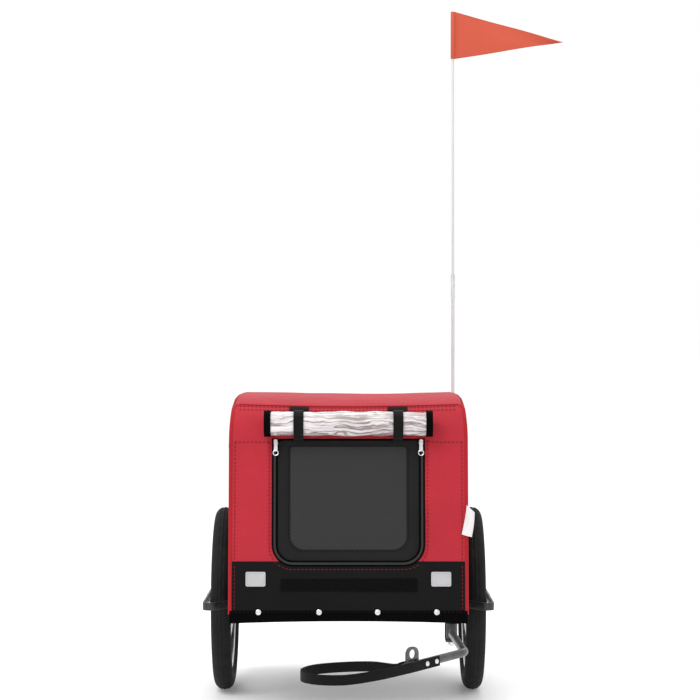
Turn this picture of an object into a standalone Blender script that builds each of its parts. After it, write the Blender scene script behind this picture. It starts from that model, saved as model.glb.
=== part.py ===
"""A two-wheeled folding bicycle trailer with a fabric cabin, a bent tow arm and a safety flag.

Units are metres, +Z is up, and the trailer is towed towards -Y, so its left side is at +X.
Every part is placed from the ground midway between the wheels. The root empty then lowers the whole
trailer so that the origin is at the middle of the floor board's underside.
"""

import math

import bmesh
import bpy
from mathutils import Matrix, Vector

# Driving dimensions
GAP = 0.0003  # left between two pieces that touch
TYRE_RADIUS = 0.1995  # a 16 inch wheel, 47-305
TYRE_WIDTH = 0.043
BEAD_RADIUS = 0.1525
TRACK_HALF = 0.2705
CABIN_HALF_WIDTH = 0.243
CABIN_HALF_LENGTH = 0.336
ROOF_HEIGHT = 0.650
SHEET = 0.003  # thickness of the coated fabric with its stiffener

AXLE_HEIGHT = TYRE_RADIUS
FRAME_RADIUS = 0.011
FRAME_HALF_WIDTH = 0.219
FRAME_HALF_LENGTH = 0.319
FRAME_CORNER = 0.040
FRAME_TOP = AXLE_HEIGHT + FRAME_RADIUS
AXLE_RADIUS = 0.006
CROSS_RADIUS = 0.008
CROSS_HEIGHT = 0.1906
CROSS_Y = 0.190
GROOVE_DEPTH = 0.0006  # of the grooves under the floor that sit on the cross tubes
GROOVE_WIDTH = 0.018
FLOOR_UNDERSIDE = CROSS_HEIGHT + CROSS_RADIUS + GAP - GROOVE_DEPTH
FLOOR_THICKNESS = 0.004
FLOOR_HALF_WIDTH = 0.198  # leaves room for the axle heads
MAT_SIZE = (0.376, 0.590)
MAT_THICKNESS = 0.014

# Outline of the cabin seen from the side, at its front end (y, z)
CREASE = Vector((-0.300, 0.560))
SHOULDER = Vector((-0.285, 0.602))
SEAM = Vector((-0.257, 0.631))
PANEL_FOOT = Vector((-CABIN_HALF_LENGTH, 0.190))
LEAN = math.atan2(CREASE.x - PANEL_FOOT.x, CREASE.y - PANEL_FOOT.y)

# Hoops of the folding frame
HOOP_RADIUS = 0.008
HOOP_PIVOT = Vector((-0.285, 0.231))
HOOP_KNEE = Vector((-0.277, 0.550))
HOOP_TOP = {"front": Vector((-0.215, 0.614)), "rear": Vector((-0.215, 0.630))}
HOOP_HALF_WIDTH = {"front": 0.203, "rear": 0.222}
HOOP_FOOT = 0.014  # how far the foot reaches past the pivot
BOLT_RADIUS = 0.003

# End doors
DOOR_HALF_WIDTH = 0.1455
DOOR_BOTTOM = 0.309
DOOR_TOP = 0.558
DOOR_CORNER = 0.036
DOOR_CLEARANCE = 0.002
ZIP_X = 0.1515

# Rain cover, rolled up above the front door
ROLL_RADIUS = 0.0275
ROLL_HALF_LENGTH = 0.172
ROLL_CENTRE = Vector((-0.3235, 0.5935))
ROLL_STRAP_X = 0.102
ROLL_STRAP_WIDTH = 0.020

# Tow arm
TOW_PIVOT = Vector((0.212, -0.319))
TOW_RADIUS = 0.008
TOW_BEND = Vector((0.2196, -0.677, 0.1742))
TOW_END = Vector((0.1010, -0.7935, 0.1617))
STRAP_WIDTH = 0.020
STRAP_THICKNESS = 0.0022
EYE_FROM_END = 0.023
EYE_HALF = 0.016
EYE_HOLE = 0.0085
EYE_HOLE_RISE = 0.0221
EYE_TOP_RISE = 0.0354

# Safety flag
POLE_X = 0.2462
POLE_Y = 0.345
POLE_RADIUS = 0.004
POLE_BOTTOM = 0.1875
POLE_JOINT = 0.880
POLE_TOP = 1.5436
FLAG_HEIGHT = 0.1122
FLAG_LENGTH = 0.260
FLAG_POINT_DROP = 0.071

FLAT = (0.02, 0.02)


def clear_scene():
    for obj in list(bpy.data.objects):
        bpy.data.objects.remove(obj)


def make_collection(name):
    made = bpy.data.collections.new(name)
    bpy.context.scene.collection.children.link(made)
    return made


def make_material(name, colour, roughness, metallic=0.0):
    made = bpy.data.materials.new(name)
    made.use_nodes = True
    shader = made.node_tree.nodes["Principled BSDF"]
    shader.inputs["Base Color"].default_value = (*colour, 1.0)
    shader.inputs["Roughness"].default_value = roughness
    shader.inputs["Metallic"].default_value = metallic
    return made


clear_scene()
TRAILER = make_collection("bicycle_trailer")
CUTTERS = make_collection("cutters")
RED_FABRIC = make_material("red_fabric", (0.55, 0.045, 0.055), 0.8)
BLACK_FABRIC = make_material("black_fabric", (0.02, 0.02, 0.02), 0.85)
MESH_FABRIC = make_material("mesh_fabric", (0.04, 0.04, 0.04), 0.7)
WEBBING = make_material("webbing", (0.008, 0.008, 0.008), 0.9)
COATED_STEEL = make_material("coated_steel", (0.05, 0.05, 0.05), 0.45, 0.2)
GREY_STEEL = make_material("grey_steel", (0.14, 0.14, 0.14), 0.4, 0.6)
ZINC = make_material("zinc", (0.75, 0.75, 0.76), 0.3, 1.0)
RUBBER = make_material("rubber", (0.03, 0.03, 0.03), 0.85)
RIM_STEEL = make_material("rim_steel", (0.55, 0.56, 0.58), 0.3, 1.0)
CLEAR_FILM = make_material("clear_film", (0.75, 0.72, 0.72), 0.15)
WHITE_LENS = make_material("white_lens", (0.8, 0.8, 0.8), 0.2)
RED_LENS = make_material("red_lens", (0.5, 0.01, 0.01), 0.2)
PLASTIC = make_material("plastic", (0.02, 0.02, 0.02), 0.5)
FIBREGLASS = make_material("fibreglass", (0.85, 0.85, 0.85), 0.4)
FLAG_CLOTH = make_material("flag_cloth", (0.75, 0.14, 0.08), 0.7)
BOARD = make_material("board", (0.03, 0.03, 0.03), 0.7)


def make_empty(name, parent=None, turn=0.0):
    made = bpy.data.objects.new(name, None)
    TRAILER.objects.link(made)
    made.parent = parent
    made.rotation_euler.z = turn
    return made


ROOT = make_empty("trailer_root")
ROOT.location.z = -FLOOR_UNDERSIDE
ENDS = {
    "front": make_empty("front_end", ROOT),
    "rear": make_empty("rear_end", ROOT, math.pi),
}
SIDES = {"left": 1, "right": -1}


def add(name, data, material, parent=None, location=(0, 0, 0), rotation=(0, 0, 0)):
    """A named object of the trailer, placed and given its material."""
    made = bpy.data.objects.new(name, data)
    TRAILER.objects.link(made)
    made.parent = parent or ROOT
    made.location = location
    made.rotation_euler = rotation
    data.materials.clear()
    data.materials.append(material)
    if isinstance(data, bpy.types.Mesh):
        data.shade_smooth()
        data.set_sharp_from_angle(angle=math.radians(35))
    return made


def mesh_of(build):
    """A mesh filled by build(bm)."""
    bm = bmesh.new()
    build(bm)
    mesh = bpy.data.meshes.new("mesh")
    bm.to_mesh(mesh)
    bm.free()
    return mesh


def box_mesh(size):
    def build(bm):
        bmesh.ops.create_cube(bm, size=1.0, matrix=Matrix.Diagonal((*size, 1.0)))

    return mesh_of(build)


def cylinder_mesh(radius, length, segments=20):
    """A cylinder along Z, centred on the origin."""

    def build(bm):
        bmesh.ops.create_cone(
            bm, cap_ends=True, segments=segments, radius1=radius, radius2=radius, depth=length
        )

    return mesh_of(build)


def turned(name, profile, material, steps, ring=False, **place):
    """A solid of revolution about its own Z from (radius, z) points that run down its outside.

    A ring is a closed profile; any other profile starts and ends on the axis.
    """
    mesh = bpy.data.meshes.new(name)
    points = [(radius, 0.0, z) for radius, z in profile]
    edges = [(i, i + 1) for i in range(len(points) - 1)]
    if ring:
        edges.append((len(points) - 1, 0))
    mesh.from_pydata(points, edges, [])
    made = add(name, mesh, material, **place)
    screw = made.modifiers.new("turn", "SCREW")
    screw.steps = screw.render_steps = steps
    screw.use_merge_vertices = True
    screw.merge_threshold = 1e-5
    return made


def filleted(points, radius, steps=4):
    """The points of an open path with its inner corners rounded to the given radius."""
    points = [Vector(p) for p in points]
    path = [points[0]]
    for before, corner, after in zip(points, points[1:], points[2:]):
        back = (before - corner).normalized()
        ahead = (after - corner).normalized()
        half = back.angle(ahead) / 2
        reach = radius / math.tan(half)
        centre = corner + (back + ahead).normalized() * (radius / math.sin(half))
        start = (corner + back * reach - centre).normalized()
        end = (corner + ahead * reach - centre).normalized()
        for i in range(steps + 1):
            path.append(centre + start.slerp(end, i / steps) * radius)
    path.append(points[-1])
    return path


def rounded(corners, radii, steps=5):
    """A closed outline in a plane, with each corner rounded to its own radius."""
    outline = []
    count = len(corners)
    for i, radius in enumerate(radii):
        around = [Vector(corners[(i + k) % count]).to_3d() for k in (-1, 0, 1)]
        outline += [p.to_2d() for p in filleted(around, radius, steps)[1:-1]]
    return outline


def smooth_path(points, per_span):
    """Points on a Catmull-Rom curve through the given points."""
    points = [Vector(p) for p in points]
    ends = [2 * points[0] - points[1], *points, 2 * points[-1] - points[-2]]
    path = []
    for a, b, c, d in zip(ends, ends[1:], ends[2:], ends[3:]):
        for i in range(per_span):
            t = i / per_span
            path.append(
                0.5 * (2 * b + (c - a) * t + (2 * a - 5 * b + 4 * c - d) * t**2
                       + (3 * b - a - 3 * c + d) * t**3)
            )
    path.append(points[-1])
    return path


def path_curve(name, points, cyclic=False):
    curve = bpy.data.curves.new(name, "CURVE")
    curve.dimensions = "3D"
    spline = curve.splines.new("POLY")
    spline.points.add(len(points) - 1)
    for point, place in zip(spline.points, points):
        point.co = (*place, 1.0)
    spline.use_cyclic_u = cyclic
    curve.use_fill_caps = not cyclic
    return curve


def tube(name, points, radius, material, cyclic=False, resolution=3, **place):
    """A round tube along a path."""
    curve = path_curve(name, points, cyclic)
    curve.bevel_depth = radius
    curve.bevel_resolution = resolution
    return add(name, curve, material, **place)


def flat_bar(name, points, thickness, height, material, **place):
    """A flat bar that stands on edge along a level path."""
    section = path_curve(name + "_section", [
        (-thickness / 2, -height / 2, 0), (thickness / 2, -height / 2, 0),
        (thickness / 2, height / 2, 0), (-thickness / 2, height / 2, 0),
    ], cyclic=True)
    section.dimensions = "2D"
    section.fill_mode = "NONE"
    guide = bpy.data.objects.new(name + "_section", section)
    CUTTERS.objects.link(guide)
    guide.hide_render = True
    curve = path_curve(name, points)
    curve.bevel_mode = "OBJECT"
    curve.bevel_object = guide
    curve.twist_mode = "Z_UP"
    return add(name, curve, material, **place)


def plate_curve(outlines, thickness):
    """A flat plate in the XY plane; outlines after the first are holes in it."""
    curve = bpy.data.curves.new("plate", "CURVE")
    curve.dimensions = "2D"
    curve.fill_mode = "BOTH"
    curve.extrude = thickness / 2
    for outline in outlines:
        spline = curve.splines.new("POLY")
        spline.points.add(len(outline) - 1)
        for point, place in zip(spline.points, outline):
            point.co = (place[0], place[1], 0.0, 1.0)
        spline.use_cyclic_u = True
    return curve


def plate(name, outlines, thickness, material, **place):
    """A flat plate as a welded mesh, in the XY plane of its own location and rotation."""
    return as_mesh(add(name, plate_curve(outlines, thickness), material, **place))


def circle(radius, centre=(0, 0), segments=16):
    turns = [2 * math.pi * i / segments for i in range(segments)]
    return [(centre[0] + radius * math.cos(t), centre[1] + radius * math.sin(t)) for t in turns]


def as_mesh(obj):
    """The object's evaluated shape as a mesh object in its place, with its loose caps welded."""
    bpy.context.view_layer.update()
    graph = bpy.context.evaluated_depsgraph_get()
    mesh = bpy.data.meshes.new_from_object(obj.evaluated_get(graph))
    bm = bmesh.new()
    bm.from_mesh(mesh)
    bmesh.ops.remove_doubles(bm, verts=bm.verts, dist=1e-6)
    bmesh.ops.recalc_face_normals(bm, faces=bm.faces)
    bm.to_mesh(mesh)
    bm.free()
    name, place, parent, material = obj.name, obj.matrix_world.copy(), obj.parent, obj.active_material
    bpy.data.objects.remove(obj)
    made = add(name, mesh, material, parent)
    bpy.context.view_layer.update()
    made.matrix_world = place
    return made


def combine(obj, other, operation):
    """Cuts other from obj, or joins it, with an exact Boolean."""
    TRAILER.objects.unlink(other)
    CUTTERS.objects.link(other)
    other.hide_render = True
    other.display_type = "WIRE"
    modifier = obj.modifiers.new(operation.lower(), "BOOLEAN")
    modifier.operation = operation
    modifier.object = other
    return obj


def cut(obj, cutter):
    return combine(obj, cutter, "DIFFERENCE")


def join(obj, other):
    return combine(obj, other, "UNION")


def hole(obj, radius, length, location, rotation=(0, 0, 0), parent=None):
    """Drills obj with a cylinder along the Z of its own rotation."""
    drill = add(obj.name + "_drill", cylinder_mesh(radius, length), ZINC, parent, location, rotation)
    return cut(obj, drill)


ALONG_X = (0, math.pi / 2, 0)
UPRIGHT = (math.pi / 2, 0, 0)  # stands an XY outline up in the XZ plane, facing -Y
LEANING = (math.pi / 2 - LEAN, 0, 0)
SIDEWAYS = (math.pi / 2, 0, math.pi / 2)  # stands an XY outline up in the YZ plane


def panel_y(z):
    """Where the lower part of an end panel's outer face is at height z."""
    return PANEL_FOOT.x + (z - PANEL_FOOT.y) * math.tan(LEAN)


def on_panel(x, z, proud):
    """A point this far in front of the end panel's outer face."""
    return (x, panel_y(z) - proud * math.cos(LEAN), z + proud * math.sin(LEAN))


def build_base_frame():
    w, l = FRAME_HALF_WIDTH, FRAME_HALF_LENGTH
    corners = [(w, -l), (w, l), (-w, l), (-w, -l)]
    outline = rounded(corners, [FRAME_CORNER] * 4)
    loop = [(x, y, AXLE_HEIGHT) for x, y in outline]
    frame = as_mesh(tube("base_frame", loop, FRAME_RADIUS, COATED_STEEL, cyclic=True))
    for side in SIDES.values():
        place = (side * w, 0, AXLE_HEIGHT)
        hole(frame, AXLE_RADIUS + GAP, 4 * FRAME_RADIUS, place, ALONG_X)
    reach = w - FRAME_RADIUS - GAP - 0.001
    for end, y in (("front", -CROSS_Y), ("rear", CROSS_Y)):
        ends = [(-reach, y, CROSS_HEIGHT), (reach, y, CROSS_HEIGHT)]
        tube(f"cross_tube_{end}", ends, CROSS_RADIUS, COATED_STEEL)


def build_floor():
    board_middle = FLOOR_UNDERSIDE + FLOOR_THICKNESS / 2
    mat_middle = FLOOR_UNDERSIDE + FLOOR_THICKNESS + GAP + MAT_THICKNESS / 2
    size = (2 * FLOOR_HALF_WIDTH, 2 * (FRAME_HALF_LENGTH - FRAME_RADIUS - 0.002))
    outline = rounded_box(size, FRAME_CORNER - 0.012)
    board = plate("floor_board", [outline], FLOOR_THICKNESS, BOARD, location=(0, 0, board_middle))
    groove = (3 * FLOOR_HALF_WIDTH, GROOVE_WIDTH, 2 * GROOVE_DEPTH)
    for y in (-CROSS_Y, CROSS_Y):
        cut(board, add("floor_groove", box_mesh(groove), BOARD, location=(0, y, FLOOR_UNDERSIDE)))
    mat = rounded_box(MAT_SIZE, 0.030)
    plate("floor_mat", [mat], MAT_THICKNESS, BLACK_FABRIC, location=(0, 0, mat_middle))


def rounded_box(size, radius):
    x, y = size[0] / 2, size[1] / 2
    return rounded([(x, -y), (x, y), (-x, y), (-x, -y)], [radius] * 4)


def tyre_profile():
    """A hollow tyre section (radius, x), open between its beads: down the outside, up the inside."""
    crown = TYRE_RADIUS - 0.022
    outer = [(BEAD_RADIUS, 0.0110), (BEAD_RADIUS + 0.007, 0.0120)]
    for i in range(9):
        turn = math.radians(-30 + 30 * i)
        flank = 1 if math.sin(turn) < 0 else 0
        outer.append((
            crown + (0.022 - 0.003 * flank) * math.sin(turn),
            TYRE_WIDTH / 2 * math.cos(turn),
        ))
    outer += [(BEAD_RADIUS + 0.007, -0.0120), (BEAD_RADIUS, -0.0110)]
    inner = [(BEAD_RADIUS, -0.0070), (crown - 0.010, -0.0150)]
    for i in range(3):
        turn = math.radians(150 - 60 * i)
        inner.append((crown + 0.017 * math.sin(turn), 0.0165 * math.cos(turn)))
    inner += [(crown - 0.010, 0.0150), (BEAD_RADIUS, 0.0070)]
    return outer + inner


def build_wheel(side_name):
    """Tyre, rim and spoked hub, all turned about the wheel axis."""
    side = SIDES[side_name]
    place = {"location": (side * TRACK_HALF, 0, AXLE_HEIGHT), "rotation": ALONG_X}
    turned(f"tyre_{side_name}", tyre_profile(), RUBBER, 32, ring=True, **place)
    rim = [
        (0.1410, 0.009), (0.1460, 0.0145), (0.1580, 0.0145), (0.1580, 0.0126), (0.1522, 0.0126),
        (0.1522, -0.0126), (0.1580, -0.0126), (0.1580, -0.0145), (0.1460, -0.0145), (0.1410, -0.009),
    ]
    turned(f"rim_{side_name}", rim, RIM_STEEL, 32, ring=True, **place)
    bore = AXLE_RADIUS + GAP
    hub_half = 0.023
    hub = [
        (bore, hub_half + 0.005), (0.010, hub_half + 0.005), (0.010, hub_half), (0.022, hub_half),
        (0.022, hub_half - 0.003), (0.012, hub_half - 0.006), (0.012, 0.006 - hub_half),
        (0.022, 0.003 - hub_half), (0.022, -hub_half), (0.010, -hub_half),
        (0.010, -0.005 - hub_half), (bore, -0.005 - hub_half),
    ]
    made = turned(f"hub_{side_name}", hub, RIM_STEEL, 16, ring=True, **place)
    spokes = add(f"spokes_{side_name}", mesh_of(spoke_fan), RIM_STEEL, **place)
    join(made, spokes)


SPOKES = 20


def spoke_fan(bm):
    """Straight spokes from alternate hub flanges to the rim's middle, about Z."""
    for i in range(SPOKES):
        turn = 2 * math.pi * i / SPOKES
        flange = 0.0215 if i % 2 else -0.0215
        lean = math.radians(28 if i % 4 < 2 else -28)
        start = Vector((0.0185 * math.cos(turn + lean), 0.0185 * math.sin(turn + lean), flange))
        end = Vector((0.1392 * math.cos(turn), 0.1392 * math.sin(turn), flange * 0.12))
        along = end - start
        place = Matrix.Translation((start + end) / 2) @ along.to_track_quat("Z", "Y").to_matrix().to_4x4()
        bmesh.ops.create_cone(
            bm, cap_ends=True, segments=6, radius1=0.0011, radius2=0.0011,
            depth=along.length, matrix=place,
        )


GUARD_THICKNESS = 0.005
GUARD_HEIGHT = 0.0165
GUARD_X = 0.3022
GUARD_Z = 0.2095


def build_guard(side_name):
    """The flat bar around the outside of a wheel, which also carries the axle's outer end."""
    side = SIDES[side_name]
    inner = FRAME_HALF_WIDTH + FRAME_RADIUS + GAP + GUARD_THICKNESS / 2
    half = [(inner, -0.176), (0.288, -0.262), (GUARD_X, -0.240)]
    path = half + [(x, -y) for x, y in reversed(half)]
    points = [(side * x, y, GUARD_Z) for x, y in path]
    rounded_path = filleted(points, 0.014, 3)
    name = f"wheel_guard_{side_name}"
    bar = as_mesh(flat_bar(name, rounded_path, GUARD_THICKNESS, GUARD_HEIGHT, COATED_STEEL))
    corners = [(0.026, 0.214), (-0.026, 0.214), (-0.012, 0.186), (0.012, 0.186)]
    place = {"location": (side * GUARD_X, 0, 0), "rotation": SIDEWAYS}
    tab = plate(name + "_tab", [rounded(corners, [0.002, 0.002, 0.008, 0.008], 3)], 0.0046, ZINC, **place)
    join(bar, tab)
    hole(bar, AXLE_RADIUS + GAP, 0.02, (side * GUARD_X, 0, AXLE_HEIGHT), ALONG_X)


def build_axle(side_name):
    """A boss on the rail, the axle through rail, hub and guard bar, and its outer nut."""
    side = SIDES[side_name]
    outward = (0, side * math.pi / 2, 0)
    hub_inner = TRACK_HALF - 0.028 - GAP
    boss_start = FRAME_HALF_WIDTH + FRAME_RADIUS + GAP
    boss_length = hub_inner - boss_start
    bore = AXLE_RADIUS + GAP
    boss = [(bore, boss_length), (0.0105, boss_length), (0.0105, 0), (bore, 0)]
    turned(
        f"axle_boss_{side_name}", boss, COATED_STEEL, 16, ring=True,
        location=(side * boss_start, 0, AXLE_HEIGHT), rotation=outward,
    )
    head = FRAME_HALF_WIDTH - FRAME_RADIUS - GAP
    tip = 0.3125
    axle = [
        (0, tip), (AXLE_RADIUS, tip), (AXLE_RADIUS, head), (0.009, head),
        (0.009, head - 0.006), (0, head - 0.006),
    ]
    turned(
        f"axle_{side_name}", axle, ZINC, 16,
        location=(0, 0, AXLE_HEIGHT), rotation=outward,
    )
    nut_start = GUARD_X + GUARD_THICKNESS / 2 + GAP
    nut = [
        (bore, nut_start + 0.006), (0.0095, nut_start + 0.006), (0.0105, nut_start + 0.004),
        (0.0105, nut_start), (bore, nut_start),
    ]
    turned(
        f"axle_nut_{side_name}", nut, ZINC, 12, ring=True,
        location=(0, 0, AXLE_HEIGHT), rotation=outward,
    )


def build_hoop(end):
    """An inverted U of tube that swings down about two pivot bolts, with its four-piece pivots."""
    parent = ENDS[end]
    x = HOOP_HALF_WIDTH[end]
    top = HOOP_TOP[end]
    leg = [
        (x, HOOP_PIVOT.x, HOOP_PIVOT.y - HOOP_FOOT),
        (x, HOOP_PIVOT.x, HOOP_PIVOT.y),
        (x, HOOP_KNEE.x, HOOP_KNEE.y),
        (x, top.x, top.y),
    ]
    left = filleted([leg[0], leg[2], leg[3], (0, top.x, top.y)], 0.040, 4)[:-1]
    path = left + [Vector((-p.x, p.y, p.z)) for p in reversed(left)]
    hoop = as_mesh(tube(f"{end}_hoop", path, HOOP_RADIUS, COATED_STEEL, parent=parent))
    plate_side = 1 if end == "front" else -1  # the front hoop's plates are outside its legs
    for side in SIDES.values():
        pivot = (side * x, HOOP_PIVOT.x, HOOP_PIVOT.y)
        hole(hoop, BOLT_RADIUS + GAP, 0.03, pivot, ALONG_X, parent)
    for side_name, side in SIDES.items():
        local = side if end == "front" else -side  # the rear end is turned half round
        plate_x = x + plate_side * (HOOP_RADIUS + GAP + 0.0017)
        height = HOOP_PIVOT.y + 0.011 - (FRAME_TOP + GAP)
        corners = [(-0.013, 0), (0.013, 0), (0.013, height), (-0.013, height)]
        ear = rounded(corners, [0.002, 0.002, 0.010, 0.010])
        bolt_hole = circle(BOLT_RADIUS + GAP, (0, height - 0.011))
        plate(
            f"hoop_bracket_{end}_{side_name}", [ear, bolt_hole], 0.003, GREY_STEEL, parent=parent,
            location=(local * plate_x, HOOP_PIVOT.x, FRAME_TOP + GAP), rotation=SIDEWAYS,
        )
        near = plate_side * (plate_x - x) + 0.0015 + GAP
        far = -HOOP_RADIUS - GAP
        bolt = [
            (0, near + 0.004), (0.0055, near + 0.004), (0.0055, near), (BOLT_RADIUS, near),
            (BOLT_RADIUS, far), (0.0055, far), (0.0055, far - 0.003), (0, far - 0.003),
        ]
        turned(
            f"hoop_bolt_{end}_{side_name}", bolt, ZINC, 12, parent=parent,
            location=(local * x, HOOP_PIVOT.x, HOOP_PIVOT.y),
            rotation=(0, local * plate_side * math.pi / 2, 0),
        )


def cabin_half_width(z):
    """The cabin's half width, which draws in towards the roof."""
    rise = max(0.0, z - 0.560) / (ROOF_HEIGHT - 0.560)
    return CABIN_HALF_WIDTH - 0.012 * rise**2


def grid_sheet(name, columns, rows, place, material, parent=None):
    """A grid bent by place(u, v), with u and v from 0 to 1, and thickened inwards."""

    def build(bm):
        bmesh.ops.create_grid(bm, x_segments=columns, y_segments=rows, size=0.5)
        for vertex in bm.verts:
            vertex.co = Vector(place(vertex.co.x + 0.5, vertex.co.y + 0.5))
        bmesh.ops.recalc_face_normals(bm, faces=bm.faces)

    made = add(name, mesh_of(build), material, parent)
    solid = made.modifiers.new("thickness", "SOLIDIFY")
    solid.thickness = SHEET
    solid.offset = -1.0
    solid.use_even_offset = True
    return made


END_ROWS = 4  # the first row is the straight face, the others round the shoulder


def end_profile(v):
    """The end panel's outer face from its foot (v = 0) over the crease to the roof seam (v = 1)."""
    if v <= 0.25:
        return PANEL_FOOT.lerp(CREASE, v / 0.25)
    t = (v - 0.25) / 0.75
    return CREASE * (1 - t) ** 2 + (2 * SHOULDER - (CREASE + SEAM) / 2) * 2 * t * (1 - t) + SEAM * t**2


def door_cutter(name, parent):
    grow = DOOR_CLEARANCE
    outline = door_outline(grow)
    place = {"parent": parent, "location": on_panel(0, DOOR_TOP, 0), "rotation": LEANING}
    return plate(name, [outline], 0.06, ZINC, **place)


def door_outline(grow=0.0):
    """The door in its own plane, its hinge edge at y = 0, where it needs twice the clearance to swing."""
    drop = (DOOR_TOP - DOOR_BOTTOM) / math.cos(LEAN)
    x, top, bottom = DOOR_HALF_WIDTH + grow, 2 * grow, -drop - grow
    corner = DOOR_CORNER + grow
    return rounded([(x, top), (-x, top), (-x, bottom), (x, bottom)], [0.006, 0.006, corner, corner])


def build_cover_end(end):
    """An end panel with its door opening, the door, two zip pulls and two reflectors."""
    parent = ENDS[end]

    def place(u, v):
        y, z = end_profile(v)
        return ((2 * u - 1) * cabin_half_width(z), y, z)

    panel = grid_sheet(f"cover_{end}", 8, END_ROWS, place, RED_FABRIC, parent)
    cut(panel, door_cutter(f"{end}_door_opening", parent))
    plate(
        f"{end}_door", [door_outline()], SHEET, MESH_FABRIC, parent=parent,
        location=on_panel(0, DOOR_TOP, -SHEET / 2), rotation=LEANING,
    )
    lens = WHITE_LENS if end == "front" else RED_LENS
    for side_name, side in SIDES.items():
        local = side if end == "front" else -side
        plate(
            f"reflector_{end}_{side_name}", [rounded_box((0.041, 0.030), 0.003)], 0.005, lens,
            parent=parent, location=on_panel(local * 0.190, 0.275, GAP + 0.0025), rotation=LEANING,
        )
        outline = rounded(
            [(-0.0042, 0.004), (-0.0042, -0.028), (0.0042, -0.028), (0.0042, 0.004)],
            [0.002, 0.004, 0.004, 0.002], 3,
        )
        ring_hole = circle(0.0022, (0, -0.0235), 10)
        plate(
            f"zip_pull_{end}_{side_name}", [outline, ring_hole], 0.0025, ZINC, parent=parent,
            location=on_panel(local * ZIP_X, 0.558, GAP + 0.0022), rotation=LEANING,
        )


WINDOW = [(-0.186, 0.345), (0.186, 0.345), (0.160, 0.566), (-0.160, 0.566)]
WINDOW_CORNER = 0.034
SIDE_TOP = 0.618
SIDE_FOOT = 0.2195
SEAM_GAP = 0.005


def side_outline():
    """The side panel's outline (y, z), just inside the end panels."""
    inset = SHEET + 2 * GAP
    ends = [end_profile(i / END_ROWS) for i in range(1, END_ROWS + 1)]
    run = [Vector((panel_y(SIDE_FOOT), SIDE_FOOT))] + ends
    front = []
    for i, point in enumerate(run):
        along = run[min(i + 1, len(run) - 1)] - run[max(i - 1, 0)]
        inward = Vector((along.y, -along.x)).normalized()
        moved = point + inward * inset
        if moved.y < SIDE_TOP:
            front.append(moved)
    front[0].y = SIDE_FOOT
    front.append(Vector((SEAM.x + inset, SIDE_TOP)))
    return front + [Vector((-p.x, p.y)) for p in reversed(front)]


def build_cover_side(side_name):
    side = SIDES[side_name]
    place = (side * (CABIN_HALF_WIDTH - SHEET / 2), 0, 0)
    opening = rounded(WINDOW, [WINDOW_CORNER] * 4)
    upright = {"location": place, "rotation": SIDEWAYS}
    plate(f"cover_{side_name}", [side_outline(), opening], SHEET, RED_FABRIC, **upright)
    middle = Vector((0, (WINDOW[0][1] + WINDOW[2][1]) / 2))
    shrunk = [middle + (Vector(p) - middle) * 0.988 for p in WINDOW]
    plate(f"side_window_{side_name}", [rounded(shrunk, [WINDOW_CORNER] * 4)], 0.002, MESH_FABRIC, **upright)


def roof_top(y):
    """Height of the roof's ridge at y: flat, and drooping to the seams."""
    return ROOF_HEIGHT - (ROOF_HEIGHT - SEAM.y) * (abs(y) / -SEAM.x) ** 6


def build_roof():
    foot = SIDE_TOP + 0.002

    def place(u, v):
        y = (2 * v - 1) * (-SEAM.x - SEAM_GAP)
        turn = math.pi * (1 - u)
        across = math.copysign(abs(math.cos(turn)) ** (1 / 3), math.cos(turn))
        up = abs(math.sin(turn)) ** (1 / 3)
        return (CABIN_HALF_WIDTH * across, y, foot + (roof_top(y) - foot) * up)

    grid_sheet("cover_roof", 12, 10, place, RED_FABRIC)


def build_rain_roll():
    """The clear rain cover, rolled up above the front door, and the two straps around it."""
    centre = (0, ROLL_CENTRE.x, ROLL_CENTRE.y)
    add(
        "rain_cover_roll", cylinder_mesh(ROLL_RADIUS, 2 * ROLL_HALF_LENGTH, 20), CLEAR_FILM,
        location=centre, rotation=ALONG_X,
    )
    inner, outer, half = ROLL_RADIUS + GAP, ROLL_RADIUS + 0.0018, ROLL_STRAP_WIDTH / 2
    loop = [(inner, half), (outer, half), (outer, -half), (inner, -half)]
    for side_name, side in SIDES.items():
        turned(
            f"roll_strap_{side_name}", loop, WEBBING, 24, ring=True,
            location=(side * ROLL_STRAP_X, ROLL_CENTRE.x, ROLL_CENTRE.y), rotation=ALONG_X,
        )


def tow_direction():
    return (TOW_END - TOW_BEND).normalized()


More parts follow.
